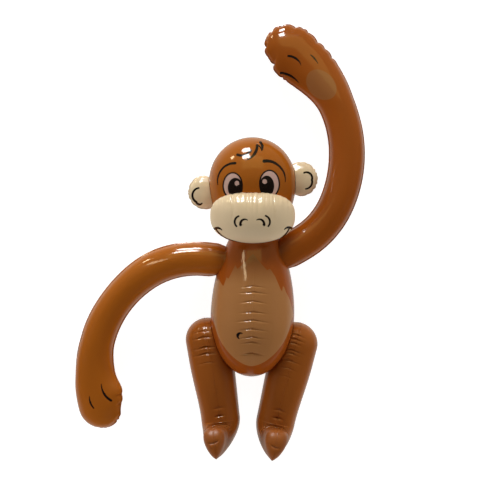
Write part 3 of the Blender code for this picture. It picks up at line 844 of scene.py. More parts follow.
def arm_sizes(station, sizes):
    """Half width, half depth and share: the tube grows into the palm along an S curve, the
    fingertips close as √(1 − t²), and the hollows draw each edge in."""
    total = arm_length(sizes)
    grown = toward_palm(station, sizes)
    closing = round_end(np.maximum(0.0, station - total + sizes["end"]) / (sizes["end"] - LIP_INSET))
    wide = (sizes["tube"] + (sizes["palm"] - sizes["tube"]) * grown - LIP_INSET) * closing
    deep = (sizes["tube"] + (sizes["palm_depth"] - sizes["tube"]) * grown) * closing
    drawn = [hollow(sizes[edge], total - station) for edge in ("inner_hollows", "outer_hollows")]
    wide = wide - np.where(np.cos(AROUND) > 0, *drawn) * np.minimum(1.0, wide / TIP_FADE)
    return wide, deep, full_share(0.5 + (HAND_FULLNESS - 0.5) * grown)


print("arm lengths, mm:", {name: round(arm_length(sizes) / MM) for name, sizes in ARMS.items()})

# %% The arms' film
TUBE_ROW, HAND_ROW, HAND_ROWS_LENGTH, TIP_ROWS = 1.25 * MM, 0.70 * MM, 110 * MM, 74
ARM_SEARCH, ARM_FADE = (-45 * MM, 75 * MM), 95 * MM
ARM_MARKS = dict(width=1.1, lobe=0.9, groove=0.2)
ARM_CREASES = dict(pitch=7.5 * MM, width=0.9 * MM, depth=0.30 * MM, reach=5 * MM)
ARM_CREASES_START, TUBE_CREASES_SHARE = 20 * MM, 0.5
ARM_ROOT_CREASES = dict(start=0.0, stop=2 * math.pi, pitch=0.27, width=0.06, depth=1.9 * MM, reach=11 * MM)
ARM_DIP = dict(dip=1.6 * MM, length=3.5 * MM)
LIP_GROWTH, FULL_CREASE_WIDTH = 12 * MM, 12 * MM
ARM_WELD = 2.0


def make_arm(name, sizes, dice):
    """An arm from the weld on the torso to the fingertips."""
    total = arm_length(sizes)
    palm, end = total - sizes["end"], sizes["end"] - LIP_INSET
    rows = np.concatenate([
        np.arange(0.0, palm - HAND_ROWS_LENGTH, TUBE_ROW), np.arange(palm - HAND_ROWS_LENGTH, palm, HAND_ROW),
        palm + end * np.sin(np.linspace(0.0, 0.5 * math.pi, TIP_ROWS)[:-1]),
    ])
    line_at, sizes_at = (functools.partial(shape, sizes=sizes) for shape in (arm_line, arm_sizes))
    station, from_root = rooted_stations(
        line_at, sizes_at, rows, lambda points: outside_torso(points)[0] < CONTACT_GAP, ARM_SEARCH, ARM_FADE,
    )
    line, (wide, deep, share) = line_at(station), sizes_at(station)
    edge, walk, first = weld_distances(line, wide, deep, share)
    small = uneven_creases(dice, ARM_CREASES_START, total, **ARM_CREASES)
    small_share = TUBE_CREASES_SHARE + (1 - TUBE_CREASES_SHARE) * toward_palm(station, sizes)
    relief = np.where(first, *(marked(edge, walk, sizes[side], **ARM_MARKS) for side in ("inner", "outer")))
    relief += gathers(edge, walk, small) * small_share
    relief += root_relief(from_root, uneven_creases(dice, **ARM_ROOT_CREASES), **ARM_DIP)
    relief *= np.minimum(1.0, wide / FULL_CREASE_WIDTH)
    lip = LIP_WIDTH * smooth(from_root / LIP_GROWTH)
    grid = clear_of_torso(chamber_points(line, station, wide, deep, share, relief, lip))
    tip_line = line_at(np.array([[palm + end]]))
    tip = (tip_line["centre"] + tip_line["ahead"] * LIP_WIDTH)[0, 0]
    return rooted_piece(name, grid, tip, clear_of_torso, ARM_WELD)


arms = {
    name: make_arm(name, sizes, np.random.default_rng(seed))
    for seed, (name, sizes) in enumerate(ARMS.items(), start=21)
}

# %% [markdown]
# ## The ears
# Short, round-ended chambers of cream film, rooted on the sides of the head, made by the same
# function as the arms from a straight line.

# %% Sizes of the ears
EAR_RADIUS = 24.2 * MM
EAR_HALF_DEPTH = 13.5 * MM
EAR_ROOT = 20.0 * MM
EAR_SHARE = full_share(0.55)
EAR_ROW, EAR_TIP_ROWS = 0.8 * MM, 52
EAR_SEARCH, EAR_FADE = (-30 * MM, 32 * MM), 36 * MM
EAR_MARKS = dict(width=0.9, lobe=0.8, groove=0.3)
EAR_ROOT_CREASES = dict(start=0.0, stop=2 * math.pi, pitch=0.32, width=0.09, depth=1.1 * MM, reach=9 * MM)
EAR_DIP = dict(dip=1.2 * MM, length=3.0 * MM)
EAR_WELD = 1.0
EAR_LIP_GROWTH, EAR_FULL_CREASE_WIDTH = 8 * MM, 6 * MM
HEAD_EDGE = 1.0 + CONTACT_GAP / HEAD_HALF_DEPTH
EARS = {
    "right_ear": dict(
        centre=(-0.0660, 0.1736), heading=182.0,
        # Marked creases on each half of the rim: millimetres from its middle, depth, and reach.
        first=((3, 1.1, 7), (10, 1.4, 8), (21, 0.8, 7), (32, 0.6, 7)),
        second=((6, 1.3, 8), (16, 0.9, 7), (27, 0.6, 7)),
    ),
    "left_ear": dict(
        centre=(0.0676, 0.1920), heading=4.0,
        first=((3, 1.6, 8), (8, 1.5, 7), (14, 1.3, 8), (24, 0.8, 7), (34, 0.6, 7)),
        second=((4, 1.4, 8), (10, 1.6, 7), (17, 1.2, 8), (28, 0.7, 7)),
    ),
}
print("marked creases:", {name: len(sizes["first"] + sizes["second"]) for name, sizes in EARS.items()})

# %% The ears' film
def clear_of_head(points):
    """Points inside the head move straight away from its centre until they are a gap outside."""
    middle = np.array([0.0, HEAD_CENTRE_Y, AXIS_HEIGHT])
    norm = head_norm(points)[..., None]
    return np.where(norm < HEAD_EDGE, middle + (points - middle) * (HEAD_EDGE / norm), points)


def make_ear(name, sizes, dice):
    """An ear from the weld on the head to its round edge."""
    end = EAR_RADIUS - LIP_INSET
    heading = math.radians(sizes["heading"])
    ahead = np.array([math.cos(heading), math.sin(heading), 0.0])
    side = np.array([-math.sin(heading), math.cos(heading), 0.0])
    middle = np.array([*sizes["centre"], AXIS_HEIGHT])

    def line_at(station):
        """The straight middle of the ear: middle + ahead · (station − root)."""
        ones = np.ones(station.shape)[..., None]
        centre = middle + ahead * (station - EAR_ROOT)[..., None]
        return dict(centre=centre, side=side * ones, up=np.array([0.0, 0.0, 1.0]) * ones, ahead=ahead * ones)

    def sizes_at(station):
        """Half width, half depth and share, which stay the same to the root's end and then close
        as √(1 − t²)."""
        closing = round_end(np.maximum(0.0, station - EAR_ROOT) / end)
        return end * closing, EAR_HALF_DEPTH * closing, EAR_SHARE

    rows = np.concatenate([
        np.arange(0.0, EAR_ROOT, EAR_ROW),
        EAR_ROOT + end * np.sin(np.linspace(0.0, 0.5 * math.pi, EAR_TIP_ROWS)[:-1]),
    ])
    station, from_root = rooted_stations(
        line_at, sizes_at, rows, lambda points: head_norm(points) < HEAD_EDGE, EAR_SEARCH, EAR_FADE,
    )
    line, (wide, deep, share) = line_at(station), sizes_at(station)
    edge, walk, first = weld_distances(line, wide, deep, share)
    relief = np.where(first, *(marked(edge, walk, sizes[half], **EAR_MARKS) for half in ("first", "second")))
    relief += root_relief(from_root, uneven_creases(dice, **EAR_ROOT_CREASES), **EAR_DIP)
    relief *= np.minimum(1.0, wide / EAR_FULL_CREASE_WIDTH)
    lip = LIP_WIDTH * smooth(np.maximum(from_root, 0.0) / EAR_LIP_GROWTH)
    grid = clear_of_head(chamber_points(line, station, wide, deep, share, relief, lip))
    tip = middle + ahead * (end + LIP_WIDTH)
    return rooted_piece(name, grid, tip, clear_of_head, EAR_WELD)


ears = {
    name: make_ear(name, sizes, np.random.default_rng(seed))
    for seed, (name, sizes) in enumerate(EARS.items(), start=31)
}

# %% [markdown]
# ## The legs
# Each leg is one chamber like a short boot, welded down its front and its back: a round knee beside
# the torso, a shin, and a foot that turns up at the ankle and narrows to the toes. Where the film
# turns, it folds: across the knee and in a fan at the ankle. The toes carry one short curved
# crease, which isn't at a weld and is pressed in along the foot instead.

# %% Sizes of the legs
LEG_AXIS_HEIGHT = 40.5 * MM
LEG_HALF_WIDTH, LEG_HALF_DEPTH = 31.2 * MM, 30.5 * MM
SHIN_HALF_WIDTH, SLIM_FROM = 27.5 * MM, 0.4
SHIN_PITCH, LEAN_FROM, LEAN_SHARE = math.radians(-4.0), 0.7, 0.5
ANKLE_RADIUS, ANKLE_BEND = 30.0 * MM, math.radians(95.0)
BEND_LENGTH = ANKLE_RADIUS * (ANKLE_BEND - SHIN_PITCH)
BEND_LEAD, LINE_STEPS = 3.2 * MM, 1600
FOOT_HALF_DEPTH, FOOT_LENGTH, FOOT_WIDEST = 21.5 * MM, 37.0 * MM, 0.30
SOLE_POWER, HEEL_POWER = 1.50, 0.70
TOE_ROUND, TOE_POWER = 18.0 * MM, 2.6
LEGS = {
    "right_leg": dict(
        knee=(-0.0682, -0.0040), side=-1, leans=(9.6, 5.5), shin=0.1452, toe_out=0.0100, toe=0.0150,
        # The middle of the crease across the toes, outwards and forwards from the foot's own, in mm.
        crease=(2.0, 3.0),
        # Folds across the knee: how far outwards their middle is, then for each its millimetres
        # from the leg's top, depth, and reach.
        seam=5.0, front=((14, 1.6, 9), (22, 3.0, 10), (36, 3.8, 12), (45, 4.0, 12), (58, 1.6, 9)),
    ),
    "left_leg": dict(
        knee=(0.0690, -0.0108), side=1, leans=(14.6, 11.5), shin=0.1442, toe_out=0.0030, toe=0.0155,
        crease=(0.0, -0.5),
        seam=-4.0, front=((14, 2.2, 9), (20, 2.6, 9), (26, 1.8, 8), (36, 2.8, 10), (41, 1.8, 8),
                          (51, 2.4, 10), (62, 1.3, 8), (74, 0.7, 7)),
    ),
}
print("folds across the knees:", {name: len(sizes["front"]) for name, sizes in LEGS.items()})

# %% The line and the section of a leg
def leg_length(sizes):
    """The shin, the bend of the ankle and the foot together."""
    return sizes["shin"] + BEND_LENGTH + FOOT_LENGTH


def toward_toe(station, sizes):
    """0 at the end of the shin and 1 where the toes' round end starts."""
    return smooth((station - sizes["shin"]) / (BEND_LENGTH + FOOT_LENGTH - TOE_ROUND))


def wedge(forward):
    """The foot's half width as a share, from −1 at the sole's seam to 1 at the instep's. Behind its
    widest line it is (1 − t^SOLE_POWER)^HEEL_POWER, which narrows to a point, and in front of it
    ∛(1 − t³)."""
    behind = np.clip(FOOT_WIDEST - forward, 0.0, None) / (1.0 + FOOT_WIDEST)
    ahead = np.clip(forward - FOOT_WIDEST, 0.0, None) / (1.0 - FOOT_WIDEST)
    pointed = (1.0 - behind**SOLE_POWER) ** HEEL_POWER
    return np.where(forward < FOOT_WIDEST, pointed, np.cbrt(np.maximum(0.0, 1.0 - ahead**3)))


def leg_line(station, sizes):
    """The middle of a leg and the directions of its section, added up from small steps along its
    heading, which leans inwards and then pitches up at the ankle."""
    shin, side = sizes["shin"], sizes["side"]
    first, last = (math.radians(lean) for lean in sizes["leans"])

    def directions(s):
        """The directions ahead, to the front and outwards, turned first by the lean and then by
        the pitch."""
        lean = first + (last - first) * smooth((s - LEAN_FROM * shin) / (LEAN_SHARE * shin))
        pitch = SHIN_PITCH + (ANKLE_BEND - SHIN_PITCH) * np.clip((s - shin) / BEND_LENGTH, 0.0, 1.0)
        zero = np.zeros_like(s)
        down = np.stack([-side * np.sin(lean), -np.cos(lean), zero], axis=-1)
        out = np.stack([side * np.cos(lean), -np.sin(lean), zero], axis=-1)
        upward = np.stack([zero, zero, zero + 1.0], axis=-1)
        cos, sin = np.cos(pitch)[..., None], np.sin(pitch)[..., None]
        return down * cos + upward * sin, upward * cos - down * sin, out

    fine = np.linspace(0.0, leg_length(sizes), LINE_STEPS)
    steps = directions(fine[1:] + BEND_LEAD)[0] * np.diff(fine)[:, None]
    walked = np.concatenate([np.zeros((1, 3)), np.cumsum(steps, axis=0)]) + [*sizes["knee"], LEG_AXIS_HEIGHT]
    centre = np.stack([np.interp(station, fine, walked[:, i]) for i in range(3)], axis=-1)
    ahead, front, out = directions(station)
    centre = centre + out * (sizes["toe_out"] * toward_toe(station, sizes))[..., None]
    return dict(centre=centre, side=front, up=out, ahead=ahead)


def leg_sizes(station, sizes):
    """Half depth front to back, half width and share: round at the knee, slimmer down the shin,
    and a foot of wedge section that narrows to the toes and closes as (1 − t^p)^(1/p), p = TOE_POWER."""
    shin = sizes["shin"]
    toe = np.maximum(0.0, station - leg_length(sizes) + TOE_ROUND) / TOE_ROUND
    closing = round_end(np.maximum(0.0, LEG_HALF_DEPTH - station) / LEG_HALF_DEPTH)
    closing = closing * np.clip(1.0 - toe**TOE_POWER, 0.0, 1.0) ** (1.0 / TOE_POWER)
    foot = smooth((station - shin) / BEND_LENGTH)
    slim = smooth((station - SLIM_FROM * shin) / ((1 - SLIM_FROM) * shin))
    wide = LEG_HALF_WIDTH + (SHIN_HALF_WIDTH - LEG_HALF_WIDTH) * slim
    wide = (wide + (sizes["toe"] - wide) * toward_toe(station, sizes)) * closing
    deep = (LEG_HALF_DEPTH + (FOOT_HALF_DEPTH - LEG_HALF_DEPTH) * foot) * closing
    return deep, wide, full_share(0.5) * (1.0 - foot) + wedge(np.cos(AROUND)) * foot


print("leg lengths, mm:", {name: round(leg_length(sizes) / MM) for name, sizes in LEGS.items()})

# %% Rows, folds and creases of the legs
LEG_ROWS = dict(top=64, knee=96, shin=64, bend=70, foot=26, toes=44)
KNEE_FOLDS_END = 80.0 * MM
LEG_LIP = 0.5 * MM
LEG_LIP_WELD, FOOT_WELD = 0.2, 2.4
LEG_SEAM = dict(depth=0.10 * MM, width=0.8 * MM)
KNEE_LEAN, KNEE_RUN, ANKLE_RUN = 0.18, 3.0 * MM, 3.6 * MM
# How much of the way back from the front counts towards a knee fold's reach.
KNEE_BACK_SHARE = 0.3
# Folds at the ankle: place as a share of its bend, then depth and reach in mm, and lean.
ANKLE_FOLDS = (
    (-0.42, 1.8, 7, 0.20), (-0.20, 5.0, 5, 0.12), (0.04, 1.3, 15, 0.60), (0.20, 1.3, 16, 0.50),
    (0.36, 1.3, 16, 0.40), (0.54, 2.0, 17, 0.15), (0.70, 1.4, 15, 0.20),
)
HEEL_CREASES = dict(pitch=8 * MM, width=1.2 * MM, depth=0.9 * MM, reach=9 * MM)
CALF_CREASES = dict(pitch=12 * MM, width=1.1 * MM, depth=0.5 * MM, reach=8 * MM)
CREASES_CLEAR, TOES_CLEAR = 20 * MM, 10 * MM
TOE_CREASE = dict(half=7.5 * MM, sag=1.4 * MM, lean=1.0 * MM, depth=2.4 * MM, width=1.1 * MM)
TOE_CREASE_START, TOE_CREASE_FADE = 0.8 * TOE_ROUND, 4 * MM


def toe_crease(forward, outward, middle):
    """A short curved groove across the toes: depth · exp(−|distance from its line| / width), which
    fades beyond its half length. The line sags in the middle and drops outwards."""
    along = (outward - middle[0] * MM) / TOE_CREASE["half"]
    line = middle[1] * MM - TOE_CREASE["sag"] * (1.0 - along**2) - TOE_CREASE["lean"] * along
    return TOE_CREASE["depth"] * np.exp(-np.abs(forward - line) / TOE_CREASE["width"] - along**4)


# %% The legs' film
def make_leg(name, sizes, dice):
    """A leg from the round knee to the toes."""
    shin, total, quarter = sizes["shin"], leg_length(sizes), 0.5 * math.pi
    rows = np.concatenate([
        LEG_HALF_DEPTH * (1 - np.cos(np.linspace(0.0, quarter, LEG_ROWS["top"])[1:])),
        np.linspace(LEG_HALF_DEPTH, KNEE_FOLDS_END, LEG_ROWS["knee"])[1:],
        np.linspace(KNEE_FOLDS_END, shin, LEG_ROWS["shin"])[1:],
        np.linspace(shin, shin + BEND_LENGTH, LEG_ROWS["bend"])[1:],
        np.linspace(shin + BEND_LENGTH, total - TOE_ROUND, LEG_ROWS["foot"])[1:],
        total - TOE_ROUND + TOE_ROUND * np.sin(np.linspace(0.0, quarter, LEG_ROWS["toes"])[1:-1]),
    ])
    station = rows[:, None] + 0 * AROUND
    line, (half_front, half_out, share) = leg_line(station, sizes), leg_sizes(station, sizes)
    _, walk, first = weld_distances(line, half_front, half_out, share)
    forward, outward = section(half_front, half_out, share)
    behind = np.maximum(0.0, half_front - forward) * KNEE_BACK_SHARE
    from_seam = np.hypot(outward - sizes["seam"] * MM, behind)
    knee = [(place * MM, depth * MM, reach * MM, KNEE_LEAN) for place, depth, reach in sizes["front"]]
    ankle = [
        (shin + place * BEND_LENGTH, depth * MM, reach * MM, lean)
        for place, depth, reach, lean in ANKLE_FOLDS
    ]
    back = uneven_creases(dice, shin - CREASES_CLEAR, total - TOES_CLEAR, **HEEL_CREASES)
    back += uneven_creases(dice, CREASES_CLEAR, shin - CREASES_CLEAR, **CALF_CREASES)
    front = folds(station, from_seam, knee, KNEE_RUN) + folds(station, walk, ankle, ANKLE_RUN)
    relief = np.where(first, front, gathers(station, walk, back)) + seam_groove(walk, **LEG_SEAM)
    relief *= np.minimum(1.0, half_front / FULL_CREASE_WIDTH)
    on_toes = smooth((station - total + TOE_CREASE_START) / TOE_CREASE_FADE)
    sunk = toe_crease(forward, outward, sizes["crease"]) * on_toes
    grid = chamber_points(line, station, half_front, half_out, share, relief, LEG_LIP)
    grid = clear_of_torso(grid - line["ahead"] * sunk[..., None])
    grid[..., 2] = np.maximum(grid[..., 2], 0.0)
    ends = [leg_line(np.array([[place]]), sizes)["centre"][0, 0] for place in (0.0, total)]
    dull = FOOT_WELD * smooth((station - shin - BEND_LENGTH / 2) / (BEND_LENGTH / 2))
    fields = {"front": np.cos(AROUND), "weld": np.maximum(LEG_LIP_WELD * ON_LIP, dull)}
    return film_piece(name + "_film", grid, ends, name, fields)


legs = {
    name: make_leg(name, sizes, np.random.default_rng(seed))
    for seed, (name, sizes) in enumerate(LEGS.items(), start=41)
}

# %% [markdown]
# Two mirrored lamps are wanted on some pieces only: the strip draws its streak down the neck and
# along the hanging arm, and would spoil the forehead; the broad sheen belongs on the cream film.
# Light linking gives each of them its pieces.

# %% Lamps that mark only some pieces
for light, pieces in ((strip_lamp, (torso, arms["right_arm"])), (sheen_lamp, (muzzle, *ears.values()))):
    lit = bpy.data.collections.new(light.name + "_pieces")
    for piece in pieces:
        lit.objects.link(piece)
    light.light_linking.receiver_collection = lit
    print(light.name, "marks", [piece.name for piece in pieces])

# %% [markdown]
# ## The air valve
# A soft clear stem valve, pushed flush into the lower back, where its plug doesn't show from the
# front. It is a turned profile: a thin flange welded to the film, a low collar, and the plug's
# domed head with a small dimple.

# %% The valve, a profile turned about its own axis
VALVE_Y = -62.0 * MM
# The profile's radius and its height over the film, in mm, from the flange's edge to the dimple.
VALVE_PROFILE_MM = (
    (8.0, -0.6), (8.1, -0.2), (7.9, 0.15), (6.4, 0.35), (5.7, 0.6), (5.3, 1.5), (5.1, 1.8), (4.7, 1.9),
    (4.5, 1.7), (4.35, 1.6), (4.2, 1.8), (4.1, 2.4), (3.8, 2.8), (3.2, 3.0), (2.2, 3.0), (1.4, 2.8),
    (0.6, 2.6),
)
VALVE_ROWS, VALVE_COLUMNS = 96, 72
UNDER_RADII_MM = (2.5, 5.0, 7.5)

profile = np.array(VALVE_PROFILE_MM) * MM
fine_share = np.linspace(0, len(profile) - 1, VALVE_ROWS)
radius, rise = (np.interp(fine_share, np.arange(len(profile)), profile[:, i])[:, None] for i in (0, 1))
under_radius = np.array(UNDER_RADII_MM)[:, None] * MM
radius, rise = np.concatenate([under_radius, radius]), np.concatenate([0 * under_radius + rise[0], rise])
spin = np.linspace(0, 2 * math.pi, VALVE_COLUMNS, endpoint=False)[None, :]
valve_radius = float(torso_radius(np.array(VALVE_Y)))
valve_foot = np.array([0.0, VALVE_Y, -valve_radius])
outward = unit(np.array([0.0, VALVE_Y / BELLY_TO_SEAT**2, -valve_radius / BELLY_RADIUS**2]))
sideways = np.array([1.0, 0.0, 0.0])
lengthwise = np.cross(outward, sideways)


def on_back(radius, spin, rise):
    """A point of the turned profile, clear of the torso: foot + radius·cos·sideways +
    radius·sin·lengthwise + rise·outward, in the toy's frame."""
    local = (
        valve_foot + (radius * np.cos(spin))[..., None] * sideways
        + (radius * np.sin(spin))[..., None] * lengthwise + (rise + 0 * spin)[..., None] * outward
    )
    return clear_of_torso(turned(local, TORSO_LEAN) + [0.0, 0.0, AXIS_HEIGHT])


middle = np.zeros((1, 1))
valve_ends = [on_back(middle, middle, rise[row:row + 1])[0, 0] for row in (0, len(rise) - 1)]
valve = film_piece(
    "air_valve_turned", on_back(radius, spin, rise), valve_ends, "air_valve",
    {"front": 0.0, "weld": 0.0},
)

# %% [markdown]
# ## The vinyl film
# Printed vinyl is one glossy skin with no grain of its own, so its life is in small things: a tone
# that drifts a little where the ink is thicker, faint straight folds from the packet, a fine
# orange-peel ripple that breaks up reflections, and the weld lips, where doubled film is denser
# and duller; the much-folded film of the feet is duller too. All of these are one node group,
# placed in every material with its own values. On the legs its pattern is stretched lengthwise and
# its tone drifts more, which paints long light and dark streaks along the shin: painted reflections.

# %% Helpers for node groups
def length_of(tree, x, y):
    """√(x² + y²)."""
    return calc(tree, "SQRT", calc(tree, "MULTIPLY_ADD", x, x, calc(tree, "MULTIPLY", y, y)))


def new_group(name, inputs, outputs):
    """An empty node group with its own function for sums, and its input and output nodes. An input
    is a number, unless its value is None: then it is a vector."""
    tree = bpy.data.node_groups.new(name, "ShaderNodeTree")
    for socket, value in inputs.items():
        kind = "NodeSocketVector" if value is None else "NodeSocketFloat"
        made = tree.interface.new_socket(socket, in_out="INPUT", socket_type=kind)
        if value is not None:
            made.default_value = value
    for socket in outputs:
        tree.interface.new_socket(socket, in_out="OUTPUT", socket_type="NodeSocketFloat")
    given, result = tree.nodes.new("NodeGroupInput"), tree.nodes.new("NodeGroupOutput")
    return tree, functools.partial(calc, tree), given.outputs, result


# %% The film's tone, gloss and relief
film_tree, film_calc, given, result = new_group(
    "vinyl_film", {"Place": None, "Drift": 0.05, "Gloss": 0.2, "Weld": 0.0}, ("Tone", "Roughness", "Height"),
)
WELD_DARKENS, WELD_DULLS = 0.05, 0.12
SMEARS, RIPPLE, PACKET_FOLD = 0.12, 0.12, 0.15


def noise(scale, detail):
    """A noise over the film at a scale, from 0 to 1."""
    return node(
        film_tree, "ShaderNodeTexNoise", {"Vector": given["Place"], "Scale": scale, "Detail": detail},
    ).outputs["Fac"]


drift = film_calc("SUBTRACT", noise(22.0, 3.0), 0.5)
smears = noise(65.0, 4.0)
ripple = film_calc("MULTIPLY", noise(420.0, 2.0), RIPPLE)
swell = noise(95.0, 1.0)
packet_folds = node(
    film_tree, "ShaderNodeTexVoronoi", {"Vector": given["Place"], "Scale": 16.0}, feature="DISTANCE_TO_EDGE",
).outputs["Distance"]
fold_mark = calc_range(film_tree, packet_folds, 0.0, 0.02, 1.0, 0.0)
tone = film_calc("MULTIPLY_ADD", drift, film_calc("MULTIPLY", given["Drift"], 2.0), 1.0)
rough = film_calc("MULTIPLY_ADD", smears, SMEARS, film_calc("SUBTRACT", given["Gloss"], SMEARS / 2))
feed(film_tree, result, {
    "Tone": film_calc("MULTIPLY_ADD", given["Weld"], -WELD_DARKENS, tone),
    "Roughness": film_calc("MULTIPLY_ADD", given["Weld"], WELD_DULLS, rough),
    "Height": film_calc("MULTIPLY_ADD", fold_mark, -PACKET_FOLD, film_calc("ADD", swell, ripple)),
})
print("film group nodes:", len(film_tree.nodes))

# %% [markdown]
# ## The prints
# Eyes, brows, mouth and the lines on the hands are ink on the film, so they are colour and not
# shape. A picture could be laid over the model, but ink this simple is better drawn by formula: it
# stays sharp at any size. Two node groups draw it. One is a stroke along an arc of a circle, whose
# width changes from its start to its end; the other is an oval. Both answer in millimetres how far
# a point is inside the mark, and the material takes the greatest answer.

# %% A stroke along an arc
arc_tree, arc_calc, given, result = new_group("ink_stroke", {
    "Place": None, "Centre": None, "Radius": 10.0, "Facing": 0.0, "Half Sweep": 1.0,
    "Start": 1.0, "Middle": 1.0, "End": 1.0,
}, ("Inside",))
away = calc_axes(arc_tree, calc_vector(arc_tree, "SUBTRACT", given["Place"], given["Centre"]))
angle = arc_calc("ARCTAN2", away["Y"], away["X"])
from_middle = arc_calc("WRAP", arc_calc("SUBTRACT", angle, given["Facing"]), math.pi, -math.pi)
share = arc_calc("DIVIDE", from_middle, given["Half Sweep"])
share = arc_calc("MAXIMUM", arc_calc("MINIMUM", share, 1.0), -1.0)
nearest_angle = arc_calc("MULTIPLY_ADD", share, given["Half Sweep"], given["Facing"])
gap = length_of(arc_tree, *(
    arc_calc("SUBTRACT", away[axis], arc_calc("MULTIPLY", arc_calc(turn, nearest_angle), given["Radius"]))
    for axis, turn in (("X", "COSINE"), ("Y", "SINE"))
))
half_width = given["Middle"]
for end, sign in (("Start", -1.0), ("End", 1.0)):
    toward_end = arc_calc("MAXIMUM", arc_calc("MULTIPLY", share, sign), 0.0)
    gain = arc_calc("SUBTRACT", given[end], given["Middle"])
    half_width = arc_calc("MULTIPLY_ADD", toward_end, gain, half_width)
feed(arc_tree, result, {"Inside": arc_calc("SUBTRACT", half_width, gap)})
print("stroke group nodes:", len(arc_tree.nodes))

# %% An oval
oval_tree, oval_calc, given, result = new_group("ink_oval", {
    "Place": None, "Centre": None, "Half Width": 10.0, "Half Height": 10.0, "Turn": 0.0,
}, ("Inside",))
spun = node(
    oval_tree, "ShaderNodeVectorRotate",
    {"Vector": given["Place"], "Center": given["Centre"], "Angle": given["Turn"]}, rotation_type="Z_AXIS",
).outputs[0]
away = calc_axes(oval_tree, calc_vector(oval_tree, "SUBTRACT", spun, given["Centre"]))
halves = given["Half Width"], given["Half Height"]
flat = [oval_calc("DIVIDE", away[axis], half) for axis, half in zip("XY", halves)]
norm = length_of(oval_tree, *flat)
steepness = length_of(oval_tree, *(oval_calc("DIVIDE", part, half) for part, half in zip(flat, halves)))
steepness = oval_calc("MAXIMUM", steepness, 0.0001)
inside = oval_calc("DIVIDE", oval_calc("MULTIPLY", norm, oval_calc("SUBTRACT", 1.0, norm)), steepness)
feed(oval_tree, result, {"Inside": inside})
print("oval group nodes:", len(oval_tree.nodes))


# %% Marks by their points
PRINT_SOFT, EDGE_SOFT = 0.25, 0.4
FRONT_SOFT = 0.02
BUMP_STRENGTH, BUMP_DEPTH = 0.25, 0.6 * MM
COAT_ROUGHNESS, FILM_IOR = 0.06, 1.5


class Sheet:
    """One material's node tree, with the place of each point in millimetres."""

    def __init__(self, name):
        """Makes the material, and turns the place from metres into millimetres, without height."""
        self.material = bpy.data.materials.new(name)
        self.material.use_nodes = True
        self.tree = self.material.node_tree
        self.object_place = node(self.tree, "ShaderNodeTexCoord").outputs["Object"]
        self.place = calc_vector(self.tree, "MULTIPLY", self.object_place, (1 / MM, 1 / MM, 0.0))

    def field(self, name):
        """A value kept on the film's points."""
        return node(self.tree, "ShaderNodeAttribute", attribute_name=name).outputs["Fac"]

    def lengthwise(self):
        """How far along the toy, in mm."""
        return calc_axes(self.tree, self.place)["Y"]

    def stroke(self, start, middle, end, widths):
        """How far inside an arc through three points, in mm, whose width at them is given. The
        circle's centre is where the lines halfway between the points cross."""
        (ax, ay), (bx, by), (cx, cy) = start, middle, end
        twice = 2 * (ax * (by - cy) + bx * (cy - ay) + cx * (ay - by))
        a2, b2, c2 = ax * ax + ay * ay, bx * bx + by * by, cx * cx + cy * cy
        x = (a2 * (by - cy) + b2 * (cy - ay) + c2 * (ay - by)) / twice
        y = (a2 * (cx - bx) + b2 * (ax - cx) + c2 * (bx - ax)) / twice
        begin, through, finish = (math.atan2(q - y, p - x) for p, q in (start, middle, end))
        sweep = (finish - begin) % (2 * math.pi)
        if (through - begin) % (2 * math.pi) > sweep:
            sweep -= 2 * math.pi
        first, mid, last = (width / 2 for width in (widths if sweep > 0 else widths[::-1]))
        return node(self.tree, "ShaderNodeGroup", {
            "Place": self.place, "Centre": (x, y, 0.0), "Radius": math.hypot(ax - x, ay - y),
            "Facing": (begin + sweep / 2 + math.pi) % (2 * math.pi) - math.pi, "Half Sweep": abs(sweep) / 2,
            "Start": first, "Middle": mid, "End": last,
        }, node_tree=arc_tree).outputs[0]

    def oval(self, centre, half_width, half_height, turn=0.0):
        """How far inside an oval, in mm."""
        return node(self.tree, "ShaderNodeGroup", {
            "Place": self.place, "Centre": (*centre, 0.0), "Half Width": half_width,
            "Half Height": half_height, "Turn": math.radians(turn),
        }, node_tree=oval_tree).outputs[0]

    def most(self, marks):
        """The greatest of several answers."""
        return functools.reduce(lambda best, mark: calc(self.tree, "MAXIMUM", best, mark), marks)

    def edge(self, inside, soft=PRINT_SOFT):
        """1 inside a mark and 0 outside it, with a soft edge in mm."""
        return calc_range(self.tree, inside, -soft, soft)

    def lay(self, under, over, mask):
        """The colour over, laid on the colour under where the mask is 1."""
        return calc_mix(self.tree, mask, under, over)

    def printed(self, under, ink, inside, soft=PRINT_SOFT):
        """The ink laid on the colour under, inside a mark and on the front sheet only."""
        on_front = self.edge(self.field("front"), FRONT_SOFT)
        return self.lay(under, ink, calc(self.tree, "MULTIPLY", self.edge(inside, soft), on_front))

    def finish(self, colour, drift=0.05, gloss=0.09, coat=0.0, stretch=1.0):
        """Joins the colour and the shared film effects to the shader."""
        film = node(self.tree, "ShaderNodeGroup", {
            "Place": calc_vector(self.tree, "MULTIPLY", self.object_place, (1.0, stretch, 1.0)),
            "Drift": drift, "Gloss": gloss, "Weld": self.field("weld"),
        }, node_tree=film_tree).outputs
        toned = node(self.tree, "ShaderNodeVectorMath", {0: colour, "Scale": film["Tone"]}, operation="SCALE")
        bump = node(self.tree, "ShaderNodeBump", {
            "Strength": BUMP_STRENGTH, "Distance": BUMP_DEPTH, "Height": film["Height"],
        })
        feed(self.tree, self.tree.nodes["Principled BSDF"], {
            "Base Color": toned.outputs[0], "Roughness": film["Roughness"], "Normal": bump.outputs[0],
            "Coat Weight": coat, "Coat Roughness": COAT_ROUGHNESS, "IOR": FILM_IOR,
        })
        print(self.material.name, "nodes:", len(self.tree.nodes))
        return self.material
